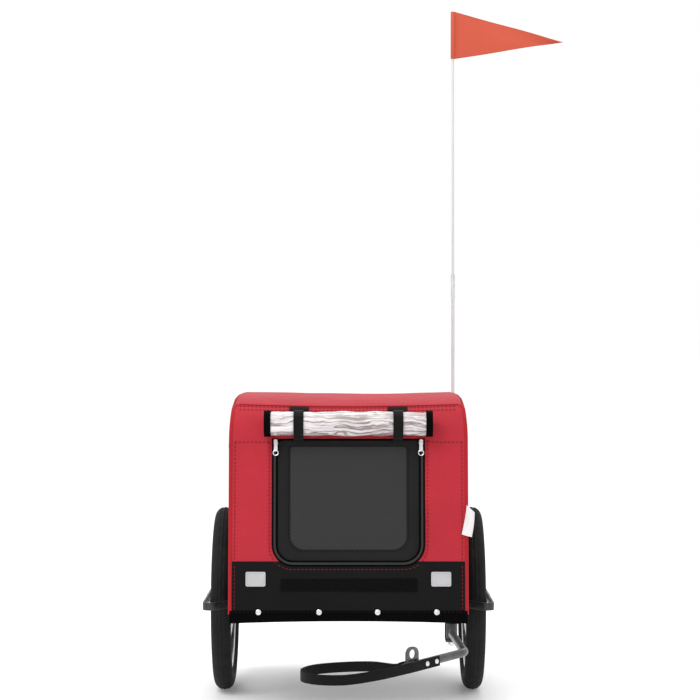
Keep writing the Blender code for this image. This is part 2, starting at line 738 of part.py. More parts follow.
def build_tow_arm():
    """The bracket under the frame, its bolt, and the bent arm with a pivot sleeve, an eye and a strap."""
    sleeve_low, sleeve_high = 0.1510, 0.1836
    wall = 0.004
    low, high = sleeve_low - GAP, sleeve_high + GAP
    back, front = TOW_PIVOT.y + 0.030, TOW_PIVOT.y - 0.016
    channel = [
        (front, high + wall), (front, high), (back - wall, high), (back - wall, low),
        (front, low), (front, low - wall), (back, low - wall), (back, high + wall),
    ]
    place = {"location": (TOW_PIVOT.x, 0, 0), "rotation": SIDEWAYS}
    bracket = plate("tow_bracket", [channel], 0.026, GREY_STEEL, **place)
    bolt_radius = 0.004
    hole(bracket, bolt_radius + GAP, 0.1, (*TOW_PIVOT, (low + high) / 2))
    bolt = [
        (0, high + wall - 0.0005), (bolt_radius, high + wall - 0.0005),
        (bolt_radius, low - wall - GAP), (0.0065, low - wall - GAP),
        (0.0065, low - wall - 0.006), (bolt_radius, low - wall - 0.009), (0, low - wall - 0.009),
    ]
    turned("tow_pivot_bolt", bolt, ZINC, 12, location=(*TOW_PIVOT, 0))

    start = Vector((*TOW_PIVOT, 0.1630))
    path = filleted([start, TOW_BEND, TOW_END], 0.040, 8)
    arm = as_mesh(tube("tow_arm", path, TOW_RADIUS, GREY_STEEL))
    sleeve = add(
        "tow_sleeve", cylinder_mesh(0.011, sleeve_high - sleeve_low, 20), GREY_STEEL,
        location=(*TOW_PIVOT, (sleeve_low + sleeve_high) / 2),
    )
    join(arm, sleeve)
    hole(arm, bolt_radius + GAP, 0.1, (*TOW_PIVOT, 0.16))

    along = tow_direction()
    eye_foot = TOW_END - along * EYE_FROM_END
    heading = math.atan2(along.y, along.x)
    corners = [(-EYE_HALF, 0), (EYE_HALF, 0), (EYE_HALF, EYE_TOP_RISE), (-EYE_HALF, EYE_TOP_RISE)]
    outline = rounded(corners, [0.001, 0.001, 0.013, 0.013], 5)
    eye = plate(
        "hitch_eye", [outline, circle(EYE_HOLE, (0, EYE_HOLE_RISE), 20)], 0.005, GREY_STEEL,
        location=eye_foot, rotation=(math.pi / 2, 0, heading),
    )
    notch = tube("hitch_eye_notch", [TOW_BEND, TOW_END + along * 0.02], TOW_RADIUS + GAP, ZINC)
    cut(eye, as_mesh(notch))
    build_strap()


def strap_route():
    """The strap's middle line: along the arm's front, round in a loop, and back behind the arm."""
    along = tow_direction()
    outward = along.cross(Vector((0, 0, 1))).normalized()
    beside = outward * (TOW_RADIUS + 0.001 + STRAP_THICKNESS / 2)
    front = [TOW_END - along * distance - beside for distance in (0.086, 0.046, 0.006)]
    back = [TOW_END - along * distance + beside for distance in (-0.014, 0.004, 0.019)]
    loop = [
        (0.056, -0.842, 0.1580), (0.000, -0.868, 0.1540), (-0.045, -0.868, 0.1534),
        (-0.078, -0.846, 0.1537), (-0.084, -0.812, 0.1545), (-0.060, -0.783, 0.1565),
        (-0.010, -0.771, 0.1590), (0.044, -0.783, 0.1625),
    ]
    return front + [Vector(p) for p in loop] + back


def build_strap():
    path = smooth_path(strap_route(), 4)
    as_mesh(flat_bar("safety_strap", path, STRAP_THICKNESS, STRAP_WIDTH, WEBBING))


def build_flag():
    """A socket on the rear corner of the frame, a two-piece pole and a pennant."""
    base = 0.1825
    wall = POLE_RADIUS + 0.0005
    outer = 0.0070
    cup = [
        (wall, base + 0.090), (outer, base + 0.090), (outer, base), (0, base), (0, base + 0.004),
        (wall, base + 0.004),
    ]
    socket = turned("flag_socket", cup, PLASTIC, 16, ring=True, location=(POLE_X, POLE_Y, 0))
    arm_start = Vector((FRAME_HALF_WIDTH - 0.020, FRAME_HALF_LENGTH - 0.018))
    arm_end = Vector((POLE_X - 0.003, POLE_Y - 0.003))
    middle, span = (arm_start + arm_end) / 2, arm_end - arm_start
    foot = add(
        "flag_socket_arm", box_mesh((span.length, 0.012, 0.0037)), PLASTIC,
        location=(*middle, base + 0.0021), rotation=(0, 0, math.atan2(span.y, span.x)),
    )
    join(socket, foot)
    lower = [
        (0, POLE_JOINT - GAP), (POLE_RADIUS, POLE_JOINT - GAP),
        (POLE_RADIUS, POLE_BOTTOM + 0.001), (POLE_RADIUS - 0.001, POLE_BOTTOM), (0, POLE_BOTTOM),
    ]
    ferrule = 0.0008
    upper = [
        (0, POLE_TOP), (POLE_RADIUS - 0.001, POLE_TOP), (POLE_RADIUS - 0.001, POLE_JOINT + 0.040),
        (POLE_RADIUS + ferrule, POLE_JOINT + 0.038), (POLE_RADIUS + ferrule, POLE_JOINT), (0, POLE_JOINT),
    ]
    place = (POLE_X, POLE_Y, 0)
    turned("flag_pole_lower", lower, FIBREGLASS, 12, location=place)
    turned("flag_pole_upper", upper, FIBREGLASS, 12, location=place)
    near = POLE_RADIUS - 0.001 + GAP
    outline = [(near, 0), (near, -FLAG_HEIGHT), (FLAG_LENGTH, -FLAG_POINT_DROP)]
    place = {"location": (POLE_X, POLE_Y, POLE_TOP), "rotation": UPRIGHT}
    plate("flag", [outline], 0.0012, FLAG_CLOTH, **place)


def main():
    build_base_frame()
    build_floor()
    for side_name in SIDES:
        build_wheel(side_name)
        build_guard(side_name)
        build_axle(side_name)
        build_cover_side(side_name)
    for end in ENDS:
        build_hoop(end)
        build_cover_end(end)
    build_roof()
    build_rain_roll()
    build_tow_arm()
    build_flag()


main()
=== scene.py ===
"""The folding bicycle trailer's visible surfaces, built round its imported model.

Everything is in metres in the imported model's frame: +Z up, the trailer's front towards -Y and its left
side at +X. Heights called h are above the ground.
"""

import math

import bmesh
import bpy
from mathutils import Matrix, Vector, noise


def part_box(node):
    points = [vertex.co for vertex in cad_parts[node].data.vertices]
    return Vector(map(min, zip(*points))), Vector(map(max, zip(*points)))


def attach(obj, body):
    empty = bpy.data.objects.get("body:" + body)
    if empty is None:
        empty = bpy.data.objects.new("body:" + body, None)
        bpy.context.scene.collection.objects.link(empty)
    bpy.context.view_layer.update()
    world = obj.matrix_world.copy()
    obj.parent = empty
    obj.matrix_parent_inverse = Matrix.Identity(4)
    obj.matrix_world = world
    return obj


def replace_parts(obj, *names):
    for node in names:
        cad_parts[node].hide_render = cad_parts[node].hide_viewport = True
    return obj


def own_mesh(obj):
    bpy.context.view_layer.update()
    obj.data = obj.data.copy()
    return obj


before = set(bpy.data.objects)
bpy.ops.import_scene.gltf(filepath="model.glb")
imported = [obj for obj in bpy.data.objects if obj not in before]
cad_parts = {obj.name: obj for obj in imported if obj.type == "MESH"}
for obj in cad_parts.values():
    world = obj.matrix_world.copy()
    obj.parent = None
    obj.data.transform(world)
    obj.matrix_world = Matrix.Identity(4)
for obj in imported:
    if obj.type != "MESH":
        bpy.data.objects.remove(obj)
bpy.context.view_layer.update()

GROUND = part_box("tyre_left")[0].z
LEFT, RIGHT = 1, -1
SIDES = {"left": LEFT, "right": RIGHT}
ENDS = {"front": Matrix.Identity(4), "rear": Matrix.Rotation(math.pi, 4, "Z")}

# Outline of the cabin's front end (y, h), the same as the CAD covers'
FOOT = Vector((-0.336, 0.190))
CREASE = Vector((-0.300, 0.560))
SHOULDER = Vector((-0.285, 0.602))
SEAM = Vector((-0.257, 0.631))
LEAN = math.atan2(CREASE.x - FOOT.x, CREASE.y - FOOT.y)
HALF_WIDTH = 0.243
ROOF = 0.650
DRAW_IN = 0.008
SIDE_FOOT = 0.2195
ROOF_CORNER = 0.009  # radius along the roof's side edges
BLACK_TOP = 0.309  # where the black lower panel meets the red one
HEM_TOP = 0.212
DOOR_HALF = 0.1455
DOOR_TOP, DOOR_BOTTOM = 0.558, 0.309
DOOR_CORNER = 0.036
ZIP_X = 0.1515
PANEL_CLOTH = 0.0016

AXLE = GROUND + 0.1995
TRACK = 0.2705

# Tow arm, on the same points as the CAD arm
TOW_PIVOT = Vector((0.212, -0.319, GROUND + 0.163))
TOW_BEND = Vector((0.2196, -0.677, GROUND + 0.1742))
TOW_END = Vector((0.1010, -0.7935, GROUND + 0.1617))
TOW_RADIUS = 0.008
STRAP_WIDTH, STRAP_THICKNESS = 0.019, 0.0022


# Camera, light and floor

def make_camera():
    data = bpy.data.cameras.new("camera")
    data.lens = 110.4
    data.sensor_width = 36
    camera = bpy.data.objects.new("camera", data)
    bpy.context.scene.collection.objects.link(camera)
    camera.location = (0.0033, -4.725, GROUND + 0.7445)
    camera.rotation_euler = (math.pi / 2, 0, 0)
    bpy.context.scene.camera = camera


def make_light(name, size, power, location, target=(0, 0, 0.25)):
    data = bpy.data.lights.new(name, "AREA")
    data.shape = "RECTANGLE"
    data.size, data.size_y = size
    data.energy = power
    light = bpy.data.objects.new(name, data)
    bpy.context.scene.collection.objects.link(light)
    light.location = location
    light.rotation_euler = (Vector(target) - Vector(location)).to_track_quat("-Z", "Y").to_euler()


def make_studio():
    make_light("key", (1.6, 1.2), 42, (-1.3, -2.4, 2.6))
    make_light("top", (2.0, 2.0), 34, (0.2, 0.4, 3.4))
    make_light("back", (3.0, 2.0), 12, (0.5, 3.4, 2.4))
    world = bpy.data.worlds.new("studio")
    bpy.context.scene.world = world
    world.use_nodes = True
    background = world.node_tree.nodes["Background"]
    background.inputs["Color"].default_value = (1, 1, 1, 1)
    background.inputs["Strength"].default_value = 1.0
    bpy.context.scene.view_settings.view_transform = "Standard"
    bm = bmesh.new()
    bmesh.ops.create_grid(bm, x_segments=1, y_segments=1, size=200)
    mesh = bpy.data.meshes.new("floor")
    bm.to_mesh(mesh)
    bm.free()
    floor = bpy.data.objects.new("floor", mesh)
    bpy.context.scene.collection.objects.link(floor)
    floor.location.z = GROUND
    paint = new_material(
        "floor_paint", (0.93, 0.93, 0.93), 0.8, Emission_Color=(1, 1, 1, 1), Emission_Strength=0.12,
        Specular_IOR_Level=0.1,
    )[0]
    mesh.materials.append(paint)


# Materials

def new_material(name, colour, roughness, metallic=0.0, **constants):
    """A material with its node tree and its shader."""
    made = bpy.data.materials.new(name)
    made.use_nodes = True
    tree = made.node_tree
    shader = tree.nodes["Principled BSDF"]
    shader.inputs["Base Color"].default_value = (*colour, 1)
    shader.inputs["Roughness"].default_value = roughness
    shader.inputs["Metallic"].default_value = metallic
    for socket, value in constants.items():
        shader.inputs[socket.replace("_", " ")].default_value = value
    return made, tree, shader


def connect(tree, made, values):
    """Links or sets a node's inputs, from numbers, colours and other nodes' outputs."""
    for socket, value in values.items():
        if isinstance(value, bpy.types.NodeSocket):
            tree.links.new(value, made.inputs[socket])
        else:
            made.inputs[socket].default_value = value


def node(tree, kind, values=(), **settings):
    made = tree.nodes.new(kind)
    for key, value in settings.items():
        setattr(made, key, value)
    connect(tree, made, dict(values))
    return made


def place_of(tree):
    return node(tree, "ShaderNodeTexCoord").outputs["Object"]


def scaled(tree, vector, scale):
    return node(tree, "ShaderNodeMapping", {"Vector": vector, "Scale": scale}).outputs["Vector"]


def grain(tree, vector, scale, detail=3.0, roughness=0.5):
    values = {"Vector": vector, "Scale": scale, "Detail": detail, "Roughness": roughness}
    return node(tree, "ShaderNodeTexNoise", values).outputs["Fac"]


def maths(tree, operation, *values):
    return node(tree, "ShaderNodeMath", dict(enumerate(values)), operation=operation).outputs[0]


def blend_colours(tree, factor, first, second):
    made = node(tree, "ShaderNodeMix", data_type="RGBA")
    connect(tree, made, {0: factor, 6: first, 7: second})
    return made.outputs[2]


def between(tree, value, low, high, out_low=0.0, out_high=1.0):
    values = {"Value": value, "From Min": low, "From Max": high, "To Min": out_low, "To Max": out_high}
    return node(tree, "ShaderNodeMapRange", values).outputs["Result"]


def complete(look, colour, height, strength, distance, roughness=None):
    """Gives a look its colour, its bump and, if it varies, its roughness."""
    made, tree, shader = look
    bump = node(tree, "ShaderNodeBump", {"Height": height, "Strength": strength, "Distance": distance})
    connect(tree, shader, {"Base Color": colour, "Normal": bump.outputs["Normal"]})
    if roughness:
        connect(tree, shader, {"Roughness": roughness})
    return made


def shade(colour, factor):
    return (*(min(1.0, c * factor) for c in colour), 1)


def grey(level):
    return (level, level, level, 1)


def mottled(tree, cloud, colour, dark, light):
    """A colour that drifts between a darker and a lighter shade of itself."""
    return blend_colours(tree, between(tree, cloud, 0.3, 0.7), shade(colour, dark), shade(colour, light))


def threads(tree, pitch):
    """A plain weave's height, from two families of waves that cross on any face of the cabin."""
    parts = node(tree, "ShaderNodeSeparateXYZ", {"Vector": place_of(tree)}).outputs
    turn = 2 * math.pi / pitch
    across = maths(tree, "ADD", parts["X"], parts["Y"])
    along = maths(tree, "ADD", parts["Z"], maths(tree, "SUBTRACT", parts["X"], parts["Y"]))
    waves = [maths(tree, "SINE", maths(tree, "MULTIPLY", line, turn)) for line in (across, along)]
    return maths(tree, "MULTIPLY", *waves)


DRAPE = 30  # height of the cloth's soft creases against its weave


def fabric(name, colour, pitch=0.0016, sheen=0.10, contrast=0.16, lift=0.0003, shine=0.12):
    """Woven cloth: crossing threads, slubs, and broad faint patches of painted shade, lighter and darker at
    random.
    """
    rough = 0.78
    look = new_material(
        name, colour, rough, Sheen_Weight=sheen, Sheen_Roughness=0.5, Specular_IOR_Level=shine
    )
    tree = look[1]
    weave = threads(tree, pitch)
    place = place_of(tree)
    slub = grain(tree, scaled(tree, place, (1, 1, 3)), 420, 4, 0.65)
    # Broad lighter and darker patches in the colour: painted shade, as of soft creases in the cloth
    painted_shade_patches = grain(tree, place, 7, 3)
    tone = maths(tree, "ADD", maths(tree, "MULTIPLY", slub, 0.6), maths(tree, "MULTIPLY", painted_shade_patches, 0.4))
    height = maths(tree, "ADD", maths(tree, "MULTIPLY", weave, 0.5), slub)
    drape = grain(tree, scaled(tree, place, (1, 1, 0.6)), 26, 3, 0.45)
    height = maths(tree, "ADD", height, maths(tree, "MULTIPLY", drape, DRAPE))
    tone = mottled(tree, tone, colour, 1 - contrast, 1 + contrast)
    gloss = between(tree, slub, 0.2, 0.8, rough - 0.08, rough + 0.08)
    return complete(look, tone, height, 0.5, lift, gloss)


def window_mesh(name):
    """Fine black netting: a square grid of holes with a lighter thread."""
    look = new_material(
        name, (0.026, 0.026, 0.027), 0.6, Sheen_Weight=0.12, Sheen_Roughness=0.4, Specular_IOR_Level=0.2
    )
    tree = look[1]
    net = threads(tree, 0.0022)
    cloud = grain(tree, place_of(tree), 5, 2)
    tone = maths(tree, "ADD", between(tree, net, -0.6, 0.6), maths(tree, "MULTIPLY", cloud, 0.5))
    dark, light = (0.019, 0.019, 0.020, 1), (0.029, 0.029, 0.030, 1)
    return complete(look, blend_colours(tree, between(tree, tone, 0.1, 1.3), dark, light), net, 0.4, 0.0003)


def webbing(name):
    """Tight ribbed webbing."""
    look = new_material(name, (0.004, 0.004, 0.004), 0.7, Sheen_Weight=0.03, Specular_IOR_Level=0.12)
    tree = look[1]
    ribs = threads(tree, 0.0022)
    fluff = grain(tree, place_of(tree), 900, 3, 0.7)
    height = maths(tree, "ADD", ribs, maths(tree, "MULTIPLY", fluff, 0.8))
    colour = blend_colours(tree, between(tree, height, -0.4, 1.4), grey(0.001), grey(0.007))
    return complete(look, colour, height, 0.7, 0.0004)


def coated_metal(name, colour, roughness, metallic, wear):
    """Paint or powder coat with fine orange peel, cloudy gloss and a little bare metal on its edges."""
    look = new_material(name, colour, roughness, metallic, Coat_Weight=0.15, Coat_Roughness=0.3)
    tree = look[1]
    place = place_of(tree)
    peel = grain(tree, place, 650, 2)
    cloud = grain(tree, place, 22, 4, 0.6)
    tone = mottled(tree, cloud, colour, 0.8, 1.25)
    edge = between(tree, node(tree, "ShaderNodeNewGeometry").outputs["Pointiness"], 0.53, 0.6)
    edge = maths(tree, "MULTIPLY", edge, between(tree, grain(tree, place, 90, 3), 0.4, 0.65, 0, wear))
    tone = blend_colours(tree, edge, tone, (0.45, 0.45, 0.46, 1))
    gloss = between(tree, cloud, 0.25, 0.75, roughness - 0.08, roughness + 0.12)
    return complete(look, tone, peel, 0.25, 0.0002, gloss)


def bare_metal(name, colour, roughness):
    """Plated or brushed metal with fine scratches."""
    look = new_material(name, colour, roughness, 1.0)
    tree = look[1]
    place = place_of(tree)
    scratch = grain(tree, scaled(tree, place, (8, 1, 1)), 240, 5, 0.7)
    tone = mottled(tree, grain(tree, place, 60, 3), colour, 0.8, 1.1)
    gloss = between(tree, scratch, 0.3, 0.7, roughness - 0.08, roughness + 0.15)
    return complete(look, tone, scratch, 0.2, 0.0001, gloss)


def tyre_rubber():
    look = new_material("tyre_rubber", (0.012, 0.012, 0.012), 0.78, Specular_IOR_Level=0.16)
    tree = look[1]
    place = place_of(tree)
    dust = grain(tree, place, 18, 5, 0.6)
    fine = grain(tree, place, 500, 3)
    colour = blend_colours(tree, between(tree, dust, 0.35, 0.75), grey(0.007), (0.018, 0.0175, 0.017, 1))
    return complete(look, colour, fine, 0.35, 0.0003, between(tree, dust, 0.3, 0.7, 0.68, 0.88))


def clear_film():
    """Crumpled clear sheet in many layers: painted silvery glints and painted shade along its creases, with
    the red cloth showing through its folds.
    """
    look = new_material(
        "clear_film", (0.7, 0.66, 0.67), 0.16, Coat_Weight=0.7, Coat_Roughness=0.08, IOR=1.5
    )
    tree = look[1]
    place = place_of(tree)
    bent = grain(tree, place, 16, 3)
    shift = node(tree, "ShaderNodeCombineXYZ", {"Z": maths(tree, "MULTIPLY", bent, 0.035)}).outputs[0]
    pushed = node(tree, "ShaderNodeVectorMath", {0: place, 1: shift}, operation="ADD").outputs[0]
    creases = grain(tree, scaled(tree, pushed, (0.07, 1.5, 1.5)), 30, 4, 0.55)
    # The ramp's pale stops are painted silvery glints and its dark reddish stops painted shade in the
    # creases
    glint_and_crease_shade_ramp = node(tree, "ShaderNodeValToRGB", {"Fac": creases})
    stops = glint_and_crease_shade_ramp.color_ramp.elements
    stops[0].position, stops[0].color = 0.28, (0.16, 0.11, 0.11, 1)
    stops[1].position, stops[1].color = 0.70, (0.86, 0.83, 0.84, 1)
    for position, colour in (
        (0.40, (0.38, 0.33, 0.32, 1)), (0.45, (0.70, 0.67, 0.68, 1)), (0.50, (0.46, 0.40, 0.41, 1)),
        (0.535, (0.17, 0.11, 0.11, 1)), (0.57, (0.55, 0.51, 0.52, 1)),
    ):
        stops.new(position).color = colour
    gloss = between(tree, creases, 0.3, 0.7, 0.3, 0.08)
    return complete(look, glint_and_crease_shade_ramp.outputs["Color"], creases, 0.9, 0.006, gloss)


def lens(name, colour):
    """A prismatic reflector: small pyramids under a clear face."""
    look = new_material(name, colour, 0.22, Coat_Weight=0.35, Coat_Roughness=0.05, Specular_IOR_Level=0.45)
    tree = look[1]
    cells = maths(tree, "ABSOLUTE", threads(tree, 0.0036))
    cloud = maths(tree, "ADD", cells, grain(tree, place_of(tree), 30, 2))
    tone = blend_colours(tree, between(tree, cloud, 0.3, 1.5), shade(colour, 0.75), shade(colour, 1.2))
    return complete(look, tone, cells, 0.6, 0.0006)


def moulded(name, colour, roughness=0.5, contrast=0.15):
    look = new_material(name, colour, roughness)
    tree = look[1]
    fine = grain(tree, place_of(tree), 700, 3)
    cloud = grain(tree, place_of(tree), 30, 3)
    tone = mottled(tree, cloud, colour, 1 - contrast, 1 + contrast)
    gloss = between(tree, cloud, 0.3, 0.7, roughness - 0.06, roughness + 0.08)
    return complete(look, tone, fine, 0.3, 0.0002, gloss)


def fuzzy(name):
    """Loop tape: a dense mat of tiny loops."""
    look = new_material(name, (0.003, 0.003, 0.003), 0.95, Sheen_Weight=0.01, Specular_IOR_Level=0.05)
    tree = look[1]
    loops = node(tree, "ShaderNodeTexVoronoi", {"Vector": place_of(tree), "Scale": 900}).outputs["Distance"]
    fluff = grain(tree, place_of(tree), 350, 4, 0.7)
    tone = between(tree, maths(tree, "ADD", loops, fluff), 0.5, 1.2)
    return complete(look, blend_colours(tree, tone, grey(0.001), grey(0.005)), loops, 0.8, 0.0006)


RED = (0.40, 0.022, 0.034)
M = {
    "red": fabric("red_cloth", RED),
    "piping": fabric("red_piping", (0.36, 0.012, 0.018), pitch=0.0012),
    "black": fabric("black_cloth", (0.0062, 0.0062, 0.0066), sheen=0.01, contrast=0.35, shine=0.09),
    "hem": fabric("black_hem", (0.0016, 0.0016, 0.0017), sheen=0.0, contrast=0.35, shine=0.03),
    "border": fabric("door_border", (0.0125, 0.0125, 0.013), sheen=0.01, contrast=0.3, shine=0.1),
    "net": window_mesh("window_net"),
    "webbing": webbing("webbing_cloth"),
    "loop": fuzzy("loop_tape"),
    "red_thread": fabric("red_thread", (0.17, 0.008, 0.011), pitch=0.0008, contrast=0.2),
    "dark_thread": fabric("dark_thread", (0.20, 0.010, 0.014), pitch=0.0008, contrast=0.2),
    "black_thread": fabric("black_thread", (0.005, 0.005, 0.005), pitch=0.0008, contrast=0.2, shine=0.06),
    "label": fabric("label_cloth", (0.74, 0.72, 0.72), pitch=0.0009, contrast=0.05),
    "flag": fabric(
        "flag_cloth", (0.52, 0.092, 0.054), pitch=0.0012, sheen=0.03, contrast=0.07, lift=0.0001
    ),
    "black_steel": coated_metal("black_steel", (0.018, 0.018, 0.019), 0.45, 0.2, 0.15),
    "grey_steel": coated_metal("grey_steel", (0.070, 0.070, 0.073), 0.34, 0.6, 0.3),
    "zinc": bare_metal("zinc", (0.72, 0.72, 0.74), 0.28),
    "rim": bare_metal("rim_metal", (0.55, 0.56, 0.58), 0.3),
    "tyre": tyre_rubber(),
    "film": clear_film(),
    "white_lens": lens("white_lens", (0.46, 0.45, 0.46)),
    "red_lens": lens("red_lens", (0.34, 0.006, 0.008)),
    "plastic": moulded("black_plastic", (0.016, 0.016, 0.016)),
    "board": moulded("floor_plastic", (0.03, 0.03, 0.03), 0.65),
    "pole": moulded("fibreglass", (0.56, 0.56, 0.56), 0.5, 0.03),
    "coil": moulded("zip_coil", (0.004, 0.004, 0.004), 0.3),
}
# The material slot of each look whose slot has another name
SLOTS = {
    **dict.fromkeys(("red", "piping", "red_thread", "dark_thread"), "red_fabric"),
    **dict.fromkeys(("black", "hem", "border", "loop", "black_thread", "coil", "label"), "black_fabric"),
    "net": "mesh_fabric", "film": "clear_film", "rim": "rim_metal", "plastic": "socket_plastic",
    "black_steel": "grey_steel", "pole": "fibreglass", "flag": "flag_cloth",
}
CAD_LOOKS = {
    "black_steel": ["base_frame", "cross_tube_front", "cross_tube_rear", "front_hoop", "rear_hoop",
                    "axle_boss_left", "axle_boss_right"],
    "grey_steel": [f"hoop_bracket_{e}_{s}" for e in ENDS for s in SIDES],
    "zinc": [f"hoop_bolt_{e}_{s}" for e in ENDS for s in SIDES]
    + [f"axle_{s}" for s in SIDES] + [f"axle_nut_{s}" for s in SIDES],
    "board": ["floor_board"],
}


# Building blocks

pieces = []  # every piece made so far


def finish_piece(name, bm, look, body="root", smooth=40, slot=None):
    """Turns bm into a piece that rides on body."""
    bmesh.ops.recalc_face_normals(bm, faces=bm.faces)
    mesh = bpy.data.meshes.new(name)
    bm.to_mesh(mesh)
    bm.free()
    mesh.shade_smooth()
    mesh.set_sharp_from_angle(angle=math.radians(smooth))
    mesh.materials.append(M[look])
    piece = bpy.data.objects.new(name, mesh)
    bpy.context.scene.collection.objects.link(piece)
    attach(piece, body)
    slot or SLOTS.get(look, look)
    pieces.append(piece)
    return piece


def spread(low, high, steps):
    """Evenly spaced values from low to high, both included."""
    return [low + (high - low) * i / steps for i in range(steps + 1)]


def circle(steps):
    """The angles of points round a circle."""
    return [2 * math.pi * i / steps for i in range(steps)]


def axes_along(along, out):
    """A rotation whose Y runs along a path and whose Z points outwards."""
    return Matrix((along.cross(out).normalized(), along, out)).transposed().to_4x4()


def facing(centre, out):
    """Puts a point, given about a Z axis that points to out, at centre."""
    axes = out.to_track_quat("Z", "Y").to_matrix()
    return lambda v: centre + axes @ v


def upright(x, y, rise=0.0):
    """Puts a point, given about a vertical axis, at x and y."""
    return lambda v: Vector((x + v.x, y + v.y, rise + v.z))


def mirror(points):
    """The other half of a symmetrical (radius, along) section."""
    return [(r, -z) for r, z in reversed(points)]


def add_loops(bm, loops, closed_across=True, closed_along=False, caps=True):
    """Joins rows of points into quads; caps fills the first and last row."""
    rows = [[bm.verts.new(p) for p in loop] for loop in loops]
    count = len(rows[0])
    pairs = list(zip(rows, rows[1:]))
    if closed_along:
        pairs.append((rows[-1], rows[0]))
    for a, b in pairs:
        for i in range(count if closed_across else count - 1):
            k = (i + 1) % count
            bm.faces.new((a[i], a[k], b[k], b[i]))
    if caps and closed_across and not closed_along:
        bm.faces.new(rows[0])
        bm.faces.new(list(reversed(rows[-1])))
    return rows


def sweep_into(bm, path, profile, up=(0, 0, 1), closed=False):
    """Sweeps a closed profile of (side, up) offsets along a path."""
    path = [Vector(p) for p in path]
    count = len(path)
    loops = []
    for i, point in enumerate(path):
        if closed:
            along = path[(i + 1) % count] - path[i - 1]
        else:
            along = path[min(i + 1, count - 1)] - path[max(i - 1, 0)]
        along.normalize()
        side = along.cross(Vector(up)).normalized()
        rise = side.cross(along)
        corner = 1.0
        if closed or 0 < i < count - 1:
            before = (point - path[i - 1]).normalized()
            corner = 1 / max(0.5, before.dot(along))
        loops.append([point + side * a * corner + rise * b for a, b in profile])
    add_loops(bm, loops, closed_along=closed)


def sweep(name, path, profile, look, up=(0, 0, 1), closed=False):
    bm = bmesh.new()
    sweep_into(bm, path, profile, up, closed)
    return finish_piece(name, bm, look)


def round_profile(radius, sides=16):
    return [(radius * math.cos(a), radius * math.sin(a)) for a in circle(sides)]


def bar_profile(width, height, radius, steps=3):
    """A rectangle with rounded corners."""
    points = []
    for cx, cy, start in ((1, 1, 0), (-1, 1, 90), (-1, -1, 180), (1, -1, 270)):
        for i in range(steps + 1):
            turn = math.radians(start + 90 * i / steps)
            points.append((
                cx * (width / 2 - radius) + radius * math.cos(turn),
                cy * (height / 2 - radius) + radius * math.sin(turn),
            ))
    return points


def lathe_into(bm, profile, steps, place, ring=False):
    """Turns (radius, along) points about the local Z; place(vector) puts them in the frame."""
    loops = []
    for a in circle(steps):
        loops.append([place(Vector((r * math.cos(a), r * math.sin(a), z))) for r, z in profile])
    add_loops(bm, loops, closed_across=ring, closed_along=True, caps=False)
    if not ring:
        bmesh.ops.remove_doubles(bm, verts=bm.verts, dist=1e-6)


def filleted(points, radius, steps=8):
    """An open path with its inner corners rounded."""
    points = [Vector(p) for p in points]
    path = [points[0]]
    for before, corner, after in zip(points, points[1:], points[2:]):
        back, ahead = (before - corner).normalized(), (after - corner).normalized()
        half = back.angle(ahead) / 2
        reach = radius / math.tan(half)
        centre = corner + (back + ahead).normalized() * (radius / math.sin(half))
        start, end = (corner + v * reach - centre for v in (back, ahead))
        for i in range(steps + 1):
            turn = start.normalized().slerp(end.normalized(), i / steps)
            path.append(centre + turn * radius)
    path.append(points[-1])
    return path


def rounded(corners, radii, steps=8):
    outline = []
    for i, radius in enumerate(radii):
        around = [Vector(corners[(i + k) % len(corners)]).to_3d() for k in (-1, 0, 1)]
        outline += [p.to_2d() for p in filleted(around, radius, steps)[1:-1]]
    return outline


def resample(points, spacing, closed=False):
    """Points at an even spacing along a path."""
    points = [Vector(p) for p in points]
    if closed:
        points.append(points[0])
    lengths = [(b - a).length for a, b in zip(points, points[1:])]
    total = sum(lengths)
    count = max(2, round(total / spacing))
    made, i, done = [], 0, 0.0
    for k in range(count if closed else count + 1):
        target = total * k / count
        while i < len(lengths) - 1 and done + lengths[i] < target:
            done += lengths[i]
            i += 1
        made.append(points[i].lerp(points[i + 1], (target - done) / max(lengths[i], 1e-9)))
    return made


def smooth_path(points, per_span):
    """Points on a Catmull-Rom curve through the given points."""
    points = [Vector(p) for p in points]
    ends = [2 * points[0] - points[1], *points, 2 * points[-1] - points[-2]]
    path = []
    for a, b, c, d in zip(ends, ends[1:], ends[2:], ends[3:]):
        for i in range(per_span):
            t = i / per_span
            square, cube = 2 * a - 5 * b + 4 * c - d, 3 * b - a - 3 * c + d
            path.append(0.5 * (2 * b + (c - a) * t + square * t**2 + cube * t**3))
    path.append(points[-1])
    return path


def cloth_sheet(name, columns, rows, place, look, body="root", thickness=0.0012, hole=None):
    """A thin closed sheet over place(u, v), u and v from 0 to 1, without the faces that are in hole."""
    bm = bmesh.new()
    grid = [
        [bm.verts.new(place(i / columns, j / rows)) for i in range(columns + 1)] for j in range(rows + 1)
    ]
    for j in range(rows):
        for i in range(columns):
            if hole and hole(place((i + 0.5) / columns, (j + 0.5) / rows)):
                continue
            bm.faces.new((grid[j][i], grid[j][i + 1], grid[j + 1][i + 1], grid[j + 1][i]))
    bmesh.ops.delete(bm, geom=[v for v in bm.verts if not v.link_faces], context="VERTS")
    bmesh.ops.recalc_face_normals(bm, faces=bm.faces)
    bmesh.ops.solidify(bm, geom=bm.faces[:], thickness=thickness)
    return finish_piece(name, bm, look, body, 60)


# Lengths, gaps and radii of stitches
STITCH = (0.0052, 0.0030, 0.0007)
STRAP_STITCH = (0.004, 0.0024, 0.0003)
FLAG_STITCH = (0.003, 0.002, 0.0003)


